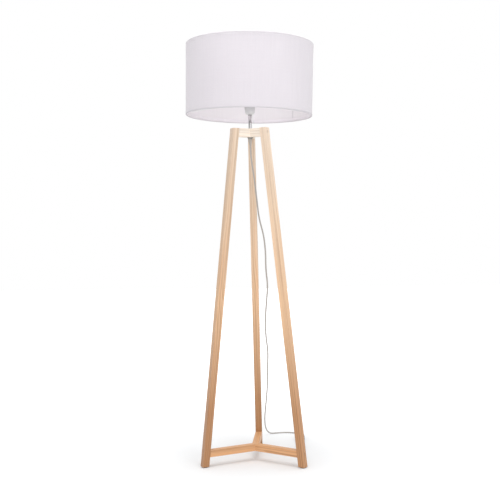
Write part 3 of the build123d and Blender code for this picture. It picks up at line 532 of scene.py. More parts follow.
def cloth_finish():
    """Plain weave on the piece's own map, in metres round and up the shade.

    Warp and weft are half sine waves a thread pitch wide. Where the product of both sines is positive the
    warp lies on top, elsewhere the weft. Threads vary in weight along whole rows and columns.
    """
    look = bpy.context.scene.lamp_shade
    finish = Finish("Shade cloth", Roughness=0.82, Sheen_Weight=0.25, Sheen_Roughness=0.4)
    finish.milky(0.35, (1.0, 0.96, 1.0), 0.0016)
    weave = finish.node("UVMap", uv_map="Cloth").outputs[0]
    waver = finish.noise(weave, (60, 60, 1))
    columns = finish.noise(weave, (620, 7, 1), 2.0, 0.6)
    rows = finish.noise(weave, (7, 620, 1), 2.0, 0.6)
    clouds = finish.noise(weave, (7, 3, 1), 3.0)

    around, upward, _ = finish.split(weave)
    turns = pi / look.thread_pitch
    around = finish.math("MULTIPLY", around, turns)
    upward = finish.math("MULTIPLY", upward, turns)
    warp = finish.math("SINE", finish.math("ADD", around, finish.math("MULTIPLY", waver, 2.5)))
    weft = finish.math("SINE", finish.math("ADD", upward, finish.math("MULTIPLY", waver, 2.0)))
    above = finish.remap(finish.math("MULTIPLY", warp, weft), -0.25, 0.25, 0.0, 1.0)
    crests = {0: above, 2: finish.math("ABSOLUTE", weft), 3: finish.math("ABSOLUTE", warp)}
    height = finish.node("Mix", crests, data_type="FLOAT").outputs[0]

    value = finish.math("ADD", finish.spread(columns, -0.018, 0.018), finish.spread(rows, -0.013, 0.013))
    value = finish.math("ADD", value, finish.spread(clouds, 0.985, 1.015))
    # Painted shade in the weave: the colour darkens where the threads lie low.
    value = finish.math("MULTIPLY", value, finish.remap(height, 0.0, 1.0, 0.90, 1.02))
    finish.set("Base Color", finish.tinted(look.cloth, finish.grey(value)))
    relief = finish.math("ADD", height, finish.math("MULTIPLY", finish.math("ADD", columns, rows), 0.7))
    finish.bump(relief, 0.00022, 0.8)
    return finish.material


def lining_finish(seam):
    """The smooth laminate behind the cloth, with the weave just showing through, and a soft dark band at a
    distance round the shade: painted shade along the edge where the seam's overlap steps in."""
    look = bpy.context.scene.lamp_shade
    finish = Finish("Shade lining", Roughness=0.42)
    finish.milky(0.35, (1.0, 0.96, 1.0), 0.0016)
    weave = finish.node("UVMap", uv_map="Cloth").outputs[0]
    columns = finish.noise(weave, (620, 7, 1), 2.0, 0.6)
    clouds = finish.noise(weave, (9, 4, 1))
    value = finish.math("ADD", finish.spread(columns, -0.02, 0.02), finish.spread(clouds, 0.985, 1.01))
    # Painted shade: the colour darkens in a narrow band at the seam's edge.
    from_seam = finish.math("ABSOLUTE", finish.math("SUBTRACT", finish.split(weave)[0], seam))
    value = finish.math("MULTIPLY", value, finish.remap(from_seam, 0.0006, 0.0024, 0.78, 1.0))
    finish.set("Base Color", finish.tinted(look.lining, finish.grey(value)))
    finish.bump(columns, 0.00008, 0.5)
    return finish.material


def hem_finish():
    """The turned edge of the cloth, a little greyer than the rest: painted shade along the hem's rounded
    edge.
    """
    look = bpy.context.scene.lamp_shade
    finish = Finish("Shade hem", Roughness=0.8, Sheen_Weight=0.2)
    threads = finish.noise(finish.place(), 1500)
    # Painted shade: the hem's colour is the cloth's, darkened to between 0.80 and 0.92.
    finish.set("Base Color", finish.mix(threads, toned(look.cloth, 0.80), toned(look.cloth, 0.92)))
    finish.bump(threads, 0.0002, 0.7)
    return finish.material


def metal_finish(name, colour, roughness, brushing, spots=0.0, facing=1.0):
    """Bare or plated metal: fine scratches round the lamp's axis and a faint clouding of the polish.

    Facing is the share of its colour that is left where it looks straight at the eye: a painted dark
    reflection of a dim room. Towards the shade's lower rim a painted bright reflection of the shade's
    inside takes over.
    """
    finish = Finish(name, Metallic=1.0)
    clouds = finish.noise(finish.place(), 90, 3.0)
    scratches = finish.noise(finish.place(), (60, 60, 2600))
    tone = finish.mix(clouds, toned(colour, 0.90 - spots), colour)
    if facing < 1:
        # Painted reflection: the colour dims where the metal faces the eye, and brightens again just under
        # the shade.
        edge = finish.node("LayerWeight", {"Blend": 0.5}).outputs["Facing"]
        height = finish.split(finish.place())[2]
        painted_reflection_of_shade = finish.remap(height, SHADE_LOW.z - 0.022, SHADE_LOW.z - 0.012, facing, 0.92)
        share = finish.math("MAXIMUM", finish.remap(edge, 0.04, 0.35, 0.0, 1.0), painted_reflection_of_shade)
        tone = finish.tinted(tone, finish.grey(share))
    finish.set("Base Color", tone)
    dull = finish.spread(clouds, roughness * 0.8, roughness * 1.25)
    finish.set("Roughness", finish.math("ADD", dull, finish.math("MULTIPLY", scratches, brushing)))
    finish.bump(scratches, 0.00002, 0.4)
    return finish.material


def plastic_finish(name, colour, roughness, grain=0.00003, translucence=0.0):
    """Moulded plastic: an even colour with a faint flow mark, and the fine grain of the mould."""
    finish = Finish(name)
    flow = finish.noise(finish.place(), (35, 35, 90), 3.0)
    skin = finish.noise(finish.place(), 2600)
    finish.set("Base Color", finish.mix(flow, toned(colour, 0.94), toned(colour, 1.03)))
    finish.set("Roughness", finish.spread(flow, roughness - 0.04, roughness + 0.05))
    if translucence:
        finish.milky(translucence, (1.0, 0.9, 0.8), 0.003)
    finish.bump(skin, grain, 0.6)
    return finish.material


def glass_finish():
    """Opal glass: a milky body under a clear, hard surface."""
    finish = Finish("Opal glass", Roughness=0.16, Coat_Weight=0.6, Coat_Roughness=0.04)
    finish.milky(0.4, (1.0, 1.0, 0.95), 0.004)
    cloud = finish.noise(finish.place(), 25)
    finish.set("Base Color", finish.mix(cloud, (0.86, 0.86, 0.85), (0.90, 0.90, 0.89)))
    return finish.material


def floor_finish():
    """White studio paper that meets the white room without an edge: a glow that grows with the distance from
    the lamp, for the eye and for mirror images only, so that it lights nothing."""
    finish = Finish("Studio floor", Roughness=0.9, Specular_IOR_Level=0.1)
    finish.set("Base Color", (0.78, 0.79, 0.80, 1))
    reach = finish.node("VectorMath", {0: finish.place()}, operation="LENGTH").outputs["Value"]
    glow = finish.node(
        "MapRange", {"Value": reach, "From Min": 0.10, "From Max": 1.3, "To Min": 0.075, "To Max": 0.75},
        interpolation_type="SMOOTHSTEP").outputs["Result"]
    finish.set("Emission Color", (1, 1, 1, 1))
    finish.set("Emission Strength", finish.math("MULTIPLY", finish.seen_by("Glossy"), glow))
    return finish.material


def studio_world(ambient):
    """An even white room: at the room light's strength for every surface, and plain white for the eye."""
    world = bpy.data.worlds.new("Studio")
    world.use_nodes = True
    nodes = Nodes(world.node_tree)
    background = world.node_tree.nodes["Background"]
    nodes.put(background.inputs["Color"], (1.0, 1.0, 1.0, 1))
    strength = nodes.remap(nodes.seen_by("Transmission"), 0.0, 1.0, ambient, 1.0)
    nodes.put(background.inputs["Strength"], strength)
    return world


def dress(material, *names):
    """Gives nodes of the lamp a finish."""
    for name in names:
        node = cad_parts[name]
        node.data.materials.clear()
        node.data.materials.append(material)
        for slot in node.material_slots:
            slot.material = material


# ------------------------------------------------------------------ operators


class LampOperator(bpy.types.Operator):
    """Base of the lamp's operators."""

    bl_options = {"REGISTER", "UNDO"}


class LAMP_OT_stage(LampOperator):
    """Set the floor, the lights and the camera"""

    bl_idname = "lamp.stage"
    bl_label = "Stage"

    def execute(self, context):
        look = context.scene.lamp_stage
        context.scene.view_settings.view_transform = "Standard"
        context.scene.world = studio_world(look.ambient)
        self.floor()
        self.light("overhead", look.overhead, place=(0.08, -0.50, 3.3), target=(0, 0, 0.2), size=1.7)
        self.light("front", look.front, place=(2.3, -3.9, 1.1), target=(0, 0, 1.0), size=1.8)
        self.light("fill", look.fill, place=(-2.6, -2.4, 0.7), target=(0, 0, 1.25), size=1.2)
        self.camera(context.scene)
        return {"FINISHED"}

    @staticmethod
    def floor():
        """A square of paper, far larger than the lamp."""
        half = 9.0
        corners = [(-half, -half, 0), (half, -half, 0), (half, half, 0), (-half, half, 0)]
        mesh = bpy.data.meshes.new("studio_floor")
        mesh.from_pydata(corners, [], [(0, 1, 2, 3)])
        mesh.materials.append(floor_finish())
        floor = bpy.data.objects.new("studio_floor", mesh)
        bpy.context.scene.collection.objects.link(floor)

    @staticmethod
    def light(name, power, place, target, size):
        """A square light at a place, turned to a target."""
        lamp = bpy.data.lights.new(name, "AREA")
        lamp.shape = "SQUARE"
        lamp.size = size
        lamp.energy = power
        holder = bpy.data.objects.new(name, lamp)
        bpy.context.scene.collection.objects.link(holder)
        holder.location = place
        holder.rotation_euler = (Vector(target) - Vector(place)).to_track_quat("-Z", "Y").to_euler()

    @staticmethod
    def camera(scene):
        """A long lens a little to the right, tipped down and turned a hair about its own axis."""
        view = bpy.data.cameras.new("camera")
        view.sensor_width = 36.0
        view.lens = 60.90
        view.shift_y = 0.1529
        view.clip_end = 50
        holder = bpy.data.objects.new("camera", view)
        scene.collection.objects.link(holder)
        place = Vector((0.2284, -3.0693, 0.8575))
        heading, pitch, roll = 0.0784, 0.1154, -0.0173
        ahead = Vector((-sin(heading) * cos(pitch), cos(heading) * cos(pitch), -sin(pitch)))
        right = Vector((cos(heading), sin(heading), 0))
        up = right.cross(ahead)
        tilted_right = right * cos(roll) + up * sin(roll)
        tilted_up = up * cos(roll) - right * sin(roll)
        turn = Matrix((tilted_right, tilted_up, -ahead)).transposed()
        holder.matrix_world = Matrix.Translation(place) @ turn.to_4x4()
        scene.camera = holder


# The cord's middle line from inside the grip to the floor, and along it towards the bundle.
ON_FLOOR = 0.0028
CORD_ROUTE = [
    (0.000, 0.000, 1.1535),
    (0.000, 0.000, 1.124),
    (0.005, 0.010, 1.078),
    (0.012, 0.027, 1.022),
    (0.017, 0.047, 0.956),
    (0.022, 0.072, 0.892),
    (0.036, 0.096, 0.836),
    (0.042, 0.117, 0.772),
    (0.040, 0.140, 0.702),
    (0.046, 0.160, 0.640),
    (0.038, 0.184, 0.570),
    (0.031, 0.207, 0.500),
    (0.031, 0.230, 0.436),
    (0.038, 0.252, 0.370),
    (0.033, 0.276, 0.302),
    (0.031, 0.300, 0.236),
    (0.025, 0.322, 0.172),
    (0.017, 0.343, 0.112),
    (0.013, 0.360, 0.066),
    (0.016, 0.375, 0.027),
    (0.032, 0.391, ON_FLOOR),
    (0.064, 0.408, ON_FLOOR),
    (0.102, 0.415, ON_FLOOR),
    (0.134, 0.407, ON_FLOOR),
    (0.154, 0.394, ON_FLOOR),
]


def fold_points(end, half_run, fold, height):
    """A half circle that joins two runs, at the switch's end (1) or the other end (-1) of the bundle.

    Its control points lie on a slightly larger circle, so that the spline touches the fold.
    """
    reach = fold * 1.035
    centre = BUNDLE_MIDDLE + end * half_run
    return [
        (centre + end * reach * cos(radians(angle)), end * reach * sin(radians(angle)), height)
        for angle in range(75, -76, -30)
    ]


def bundle_points():
    """The way into the put-away bundle, its runs side by side, joined by half circles and laid turn on turn,
    and the last run over the middle of the others."""
    half_run, fold, straight = 0.036, 0.01375, 0.026
    points = [(-0.0925, 0.004, 0.0037), (-0.0685, 0.004, BUNDLE_LOW), (-0.058, 0.006, BUNDLE_LOW),
              (-0.044, 0.0125, BUNDLE_LOW), (-0.022, 0.0137, BUNDLE_LOW)]
    for turn in range(2):
        height = BUNDLE_LOW + turn * BUNDLE_LAYER
        if turn:
            points += [(BUNDLE_MIDDLE - straight, fold, height), (BUNDLE_MIDDLE, fold - 0.0003, height)]
        points.append((BUNDLE_MIDDLE + straight, fold, height))
        points += fold_points(1, half_run, fold, height)
        points += [
            (BUNDLE_MIDDLE + straight, -fold, height),
            (BUNDLE_MIDDLE + 0.004, -fold + 0.0004, height + BUNDLE_LAYER * 0.35),
            (BUNDLE_MIDDLE - 0.020, -fold, height + BUNDLE_LAYER),
        ]
        points += fold_points(-1, half_run, fold, height + BUNDLE_LAYER)
    top = BUNDLE_LOW + 2 * BUNDLE_LAYER
    points += [
        (BUNDLE_MIDDLE - straight, fold, top),
        (BUNDLE_MIDDLE - 0.004, fold, top),
        (BUNDLE_MIDDLE + 0.014, 0.0105, top),
        (BUNDLE_MIDDLE + 0.030, 0.0035, top),
        (BUNDLE_MIDDLE + 0.044, 0.0002, top),
    ]
    return [tuple(on_tail(*point)) for point in points]


def lead_points():
    """From the top of the bundle to the switch, straight through it, and on to the plug."""
    start = 0.0365
    top = BUNDLE_LOW + 2 * BUNDLE_LAYER
    heights = [(0.0, top), (0.0086, top), (0.0174, SWITCH_AXIS), (0.026, SWITCH_AXIS), (0.068, SWITCH_AXIS),
               (0.110, SWITCH_AXIS), (0.125, SWITCH_AXIS), (0.145, PLUG_AXIS), (0.160, PLUG_AXIS),
               (0.166, PLUG_AXIS)]
    return [tuple(on_tail(start + along, 0, height)) for along, height in heights]


class LAMP_OT_cord(LampOperator):
    """Lay the supply cord from the grip to the plug"""

    bl_idname = "lamp.cord"
    bl_label = "Supply cord"

    def execute(self, context):
        look = context.scene.lamp_cord
        route = np.array(CORD_ROUTE + bundle_points() + lead_points())
        curve = bpy.data.curves.new("supply_cord", "CURVE")
        curve.dimensions = "3D"
        spline = curve.splines.new("NURBS")
        spline.points.add(len(route) - 1)
        spline.points.foreach_set("co", np.hstack([route, np.ones((len(route), 1))]).ravel())
        spline.order_u = 3
        spline.use_endpoint_u = True
        spline.resolution_u = 6
        curve.bevel_depth = look.diameter / 2
        curve.bevel_resolution = 3
        curve.use_fill_caps = True
        curve.materials.append(plastic_finish("Cord sheath", look.sheath, 0.38, grain=0.00004))
        cord = bpy.data.objects.new("supply_cord", curve)
        context.scene.collection.objects.link(cord)
        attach(cord, "stand")
        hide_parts("cord_hanging", "cord_hank", "cord_tail", "cord_lead")
        return {"FINISHED"}


class LAMP_OT_timber(LampOperator):
    """Finish the legs, rails and bolt covers as lacquered softwood"""

    bl_idname = "lamp.timber"
    bl_label = "Legs and rails"

    def execute(self, context):
        # Of each side: where the pith lies beside the bar's middle line, then the leg's tone and warmth.
        # The left leg's lower, warmer tone is painted shade and the right leg's higher tone painted light,
        # from the light on the right.
        sides = {
            "left": ((0.036, -0.021), 0.86, 0.05),
            "right": ((-0.017, 0.043), 1.06, 0.01),
            "rear": ((0.028, 0.033), 1.06, 0.0),
        }
        head_height = Vector((0, 0, (HEAD_BOTTOM + LEG_TOP) / 2))
        stretcher_height = Vector((0, 0, STRETCHER_TOP - STRETCHER_DEPTH / 2))
        for side, (pith, tone, warmth) in sides.items():
            out = away(side)
            foot = out * FOOT_REACH
            head = out * HEAD_REACH + Vector((0, 0, LEG_TOP))
            leg = wood_finish(f"Leg wood {side}", (foot + head) / 2, head - foot, pith, tone, warmth)
            dress(leg, f"leg_{side}")
            turned_pith = (pith[1], -pith[0])
            # The head rails' higher, cooler tone is painted light, as on the heads of the legs.
            rail = wood_finish(f"Head rail wood {side}", head_height, out, turned_pith,
                               tone=1.12, warmth=-0.06, contrast=0.5)
            dress(rail, f"head_rail_{side}")
            turned_pith = (pith[1], pith[0])
            # The stretchers' high tone offsets the painted shade that darkens the wood at the foot.
            rail = wood_finish(f"Stretcher wood {side}", stretcher_height, out, turned_pith,
                               tone=1.64, warmth=-0.05)
            dress(rail, f"stretcher_rail_{side}")
        cover = wood_finish("Cover wood", (0, 0, 0), (1, 0.2, 0.1), (0.02, 0.02), tone=0.94, warmth=0.02)
        dress(cover, "bolt_covers", "mitre_dowels")
        dress(felt_finish(), *(f"foot_pad_{side}" for side in LEGS))
        return {"FINISHED"}


class LAMP_OT_stem(LampOperator):
    """Build the chromed stem, its ring, the clamp under the frame and the cord grip"""

    bl_idname = "lamp.stem"
    bl_label = "Stem"

    def execute(self, context):
        look = context.scene.lamp_hardware
        # The chrome's colour carries a painted reflection, dim where it faces the eye and bright under the
        # shade.
        chrome = metal_finish("Chrome plate", look.chrome, 0.10, brushing=0.05, facing=0.46)
        ring_metal = metal_finish("Lock ring metal", toned(look.chrome, 0.45), 0.25, brushing=0.05)
        zinc = metal_finish("Zinc plate", (0.40, 0.38, 0.36), 0.36, brushing=0.15, spots=0.1)
        nylon = plastic_finish("Nylon", (0.52, 0.475, 0.43), 0.36, grain=0.00003, translucence=0.2)

        tube = sleeve("stem_tube", bore=0.0052, radius=0.0003, steps=3)
        ring = sleeve("lock_ring", bore=0.0051, radius=(0.0002, 0.0008, 0.0008, 0.0002), steps=4)
        parts = [turned(tube, 64), turned(ring, 192, self.knurl(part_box("lock_ring")[1].x))]
        kinds = np.repeat([0, 1], [len(faces) for _, faces in parts])
        metals = [chrome, ring_metal]
        stem = mesh_piece("stem", *joined(parts), metals, "stand", "chrome", face_materials=kinds)
        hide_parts("stem_tube", "lock_ring")

        low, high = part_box("cord_grip")
        surface = turned(self.grip_outline(low.z, high.z), 144, self.ribs(low.z, high.z))
        grip = mesh_piece("cord_clamp", *surface, nylon, "stand", "nylon")
        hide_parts("cord_grip")
        dress(zinc, "threaded_nipple", "clamp_washer", "clamp_nut", "leg_bolts", "locating_pins",
              "terminal_screws", "switch_screws")
        return {"FINISHED"}

    @staticmethod
    def knurl(outer):
        """Straight knurling: the outer radius dips by the square of a cosine, forty times round."""
        def relief(a, r, z):
            return r - np.where(r > outer - 0.0009, 0.00022 * np.cos(20 * a) ** 2, 0), z
        return relief

    @staticmethod
    def grip_outline(bottom, top):
        """The grip's section: a mouth round the cord, a taper up to the collar, and the nipple's bore."""
        bore, nipple, collar = 0.00285, 0.0051, 0.0070
        z = np.linspace(bottom + 0.0016, top - 0.0102, 34)
        taper = np.stack([np.interp(z, [bottom, top - 0.0095], [0.0042, 0.0060]), z], 1)
        return np.vstack([
            [(bore, bottom), (0.0034, bottom), (0.0040, bottom + 0.0005), (0.0042, bottom + 0.0012)],
            taper,
            [(0.0062, top - 0.0095), (0.0066, top - 0.0090), (collar, top - 0.0086), (collar, top - 0.0060),
             (collar, top - 0.0035), (collar, top - 0.0008), (0.0066, top), (nipple, top),
             (nipple, top - 0.0068), (bore, top - 0.0068), (bore, (top + bottom) / 2)]])

    @staticmethod
    def ribs(bottom, top):
        """Rings round the taper as a sine of the height, and eighteen flats round the collar."""
        def relief(a, r, z):
            taper = (z > bottom + 0.0015) & (z < top - 0.0100) & (r > 0.0035)
            collar = (z > top - 0.0088) & (z < top - 0.0006) & (r > 0.0065)
            r = r - np.where(taper, 0.00045 * (0.5 + 0.5 * np.sin((z - bottom) * tau / 0.0019)), 0)
            return r - np.where(collar, 0.00045 * (0.5 + 0.5 * np.cos(18 * a)) ** 3, 0), z
        return relief


class LAMP_OT_lampholder(LampOperator):
    """Build the moulded lampholder with its threaded skirt and shade ring"""

    bl_idname = "lamp.lampholder"
    bl_label = "Lampholder"

    def execute(self, context):
        look = context.scene.lamp_hardware
        shell = plastic_finish("Holder plastic", look.holder, 0.30, grain=0.00002)
        low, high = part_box("holder_cap")
        surface = turned(self.cap_outline(low.z, high.z), 128)
        cap = mesh_piece("holder_shell", *surface, shell, "stand", "holder_plastic")
        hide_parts("holder_cap")

        low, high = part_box("holder_skirt")
        start, end = low.z + 0.0116, high.z - 0.0016
        relief = thread(start, end, least=0.0192, pitch=0.003, depth=0.0007, sharpness=1.0, run_in=0.0015)
        surface = turned(self.skirt_outline(low.z, high.z, np.linspace(start, end, 84)), 144, relief)
        skirt = mesh_piece("holder_sleeve", *surface, shell, "stand", "holder_plastic")
        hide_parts("holder_skirt")

        low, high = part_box("shade_ring")
        surface = turned(self.ring_outline(low.z, high.z), 288, self.notches)
        ring = mesh_piece("shade_nut", *surface, shell, "stand", "holder_plastic")
        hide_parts("shade_ring")

        glazed = plastic_finish("Glazed insulator", (0.78, 0.76, 0.70), 0.16, grain=0.00001, translucence=0.2)
        dress(glazed, "holder_insulator")
        dress(metal_finish("Screw shell metal", (0.66, 0.66, 0.66), 0.24, brushing=0.12), "screw_shell")
        brass = metal_finish("Brass", (0.60, 0.42, 0.17), 0.22, brushing=0.12)
        dress(brass, "threaded_inserts", "terminals", "centre_contact", "plug_blades")
        dress(plastic_finish("Wire insulation", (0.05, 0.05, 0.05), 0.35), "lead_wires")
        return {"FINISHED"}

    @staticmethod
    def cap_outline(bottom, top):
        """The cap: a bowl that is a quarter circle, a side with one groove, and the hollow with its bush."""
        floor, bowl = 0.0080, 0.0095
        t = np.linspace(0, pi / 2, 22)
        return np.vstack([
            np.stack([floor + bowl * np.sin(t), bottom + bowl - bowl * np.cos(t)], 1),
            [(0.01872, top - 0.0042), (0.01845, top - 0.0039), (0.01845, top - 0.0035),
             (0.01878, top - 0.0032), (0.01882, top - 0.0026), (0.0190, top - 0.0006),
             (0.0187, top - 0.0001), (0.0185, top)],
            [(0.0171, top), (0.0170, top - 0.0006), (0.0157, bottom + 0.014), (0.0150, bottom + 0.009),
             (0.0120, bottom + 0.0055), (0.0080, bottom + 0.0050), (0.0079, bottom + 0.0088),
             (0.0051, bottom + 0.0090), (0.0051, bottom + 0.0003), (0.0054, bottom), (0.0078, bottom)]])

    @staticmethod
    def skirt_outline(bottom, top, threaded):
        """The skirt: a neck, the flange that the shade's hub rests on, a wall with rows for its thread, and
        the bore."""
        neck, flange, wall, bore = 0.0162, 0.0220, 0.0196, 0.0145
        seat = bottom + 0.0080
        return np.vstack([
            [(0.0126, bottom), (0.0160, bottom), (neck, bottom + 0.0004), (neck, seat - 0.0002),
             (0.0216, seat), (flange, seat + 0.0004), (flange, seat + 0.0021), (0.0216, seat + 0.0025),
             (wall, seat + 0.0026)],
            np.stack([np.full(len(threaded), wall), threaded], 1),
            [(0.0195, top - 0.0008), (0.0190, top - 0.0002), (0.0183, top), (0.0147, top),
             (bore, top - 0.0003), (bore, bottom + 0.0022), (0.0125, bottom + 0.0020),
             (0.0125, bottom + 0.0003)]])

    @staticmethod
    def ring_outline(bottom, top):
        """The shade ring: a wide flange with a soft edge, under a plain collar."""
        bore, flange = 0.0197, 0.0285
        return [
            (0.0199, bottom), (0.0275, bottom), (0.0282, bottom + 0.0003), (flange, bottom + 0.0008),
            (flange, bottom + 0.0018), (0.0281, bottom + 0.0023), (0.0245, bottom + 0.0026),
            (0.0237, bottom + 0.0032), (0.0235, bottom + 0.0040), (0.0233, top - 0.0008),
            (0.0229, top - 0.0002), (0.0224, top), (0.0201, top), (bore, top - 0.0004),
            (bore, bottom + 0.0003)]

    @staticmethod
    def notches(a, r, z):
        """Sixteen finger notches: the flange's radius dips by a power of a cosine round the ring."""
        dip = 0.0014 * np.clip(np.cos(16 * a), 0, 1) ** 1.5
        return r - np.where(r > 0.0270, dip, 0), z


class LAMP_OT_bulb(LampOperator):
    """Build the opal bulb and its screw cap"""

    bl_idname = "lamp.bulb"
    bl_label = "Bulb"

    def execute(self, context):
        look = context.scene.lamp_hardware
        bottom, neck = (corner.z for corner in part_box("bulb_cap"))
        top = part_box("bulb_globe")[1].z
        surface = turned(self.glass_outline(neck, top), 96)
        globe = mesh_piece("bulb_glass", *surface, glass_finish(), "bulb", "opal_glass")
        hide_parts("bulb_globe")

        start, end = bottom + 0.0064, neck - 0.0042
        relief = thread(start, end, least=0.0125, pitch=look.thread_pitch, depth=0.0011, sharpness=0.8,
                        run_in=0.0012, run_out=0.0002)
        points, faces = turned(self.cap_outline(bottom, neck, np.linspace(start, end, 60)), 96, relief)
        heights = np.array([np.mean(points[np.array(face), 2]) for face in faces])
        kinds = np.select([heights < bottom + 0.0014, heights < bottom + 0.0047], [2, 1], 0)
        metal = metal_finish("Bulb cap metal", (0.70, 0.70, 0.70), 0.22, brushing=0.10)
        vitrite = plastic_finish("Vitrite", (0.012, 0.012, 0.014), 0.08, grain=0.000005)
        solder = metal_finish("Solder", (0.55, 0.55, 0.56), 0.35, brushing=0.05, spots=0.2)
        cap = mesh_piece("bulb_base", points, faces, [metal, vitrite, solder], "bulb", "shell_metal",
                         face_materials=kinds)
        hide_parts("bulb_cap")
        return {"FINISHED"}

    @staticmethod
    def glass_outline(neck, top):
        """The glass: a ball that meets a hollow curve of a larger radius, where both arcs share a tangent.
        The hollow curve ends upright at the throat."""
        ball, throat, hollow = 0.030, 0.0145, 0.045
        centre = top - ball
        turn = acos((throat + hollow) / (ball + hollow))
        throat_height = centre - (ball + hollow) * sin(turn)
        low = np.linspace(0, turn, 24)[:-1]
        high = np.linspace(-turn, pi / 2, 56)[:-1]
        return np.vstack([
            [(0, neck - 0.004), (0.0115, neck - 0.004), (0.0118, neck - 0.0002), (throat, neck + 0.0001)],
            np.stack([throat + hollow - hollow * np.cos(low), throat_height + hollow * np.sin(low)], 1),
            np.stack([ball * np.cos(high), centre + ball * np.sin(high)], 1),
            [(0, top)]])

    @staticmethod
    def cap_outline(bottom, top, threaded):
        """The screw cap: the contact's button, the insulator's cone, a wall with rows for the rolled thread,
        and the rim that holds the glass."""
        wall = 0.0130
        return np.vstack([
            [(0, bottom), (0.0030, bottom + 0.0001), (0.0044, bottom + 0.0005), (0.0048, bottom + 0.0012),
             (0.0052, bottom + 0.0016), (0.0080, bottom + 0.0030), (0.0105, bottom + 0.0045),
             (0.0114, bottom + 0.0049), (0.0119, bottom + 0.0054), (0.0121, bottom + 0.0060)],
            np.stack([np.full(len(threaded), wall), threaded], 1),
            [(0.0126, top - 0.0036), (0.0127, top - 0.0010), (wall, top - 0.0006), (wall, top), (0.0119, top),
             (0.0117, top - 0.0038), (0, top - 0.0039)]])


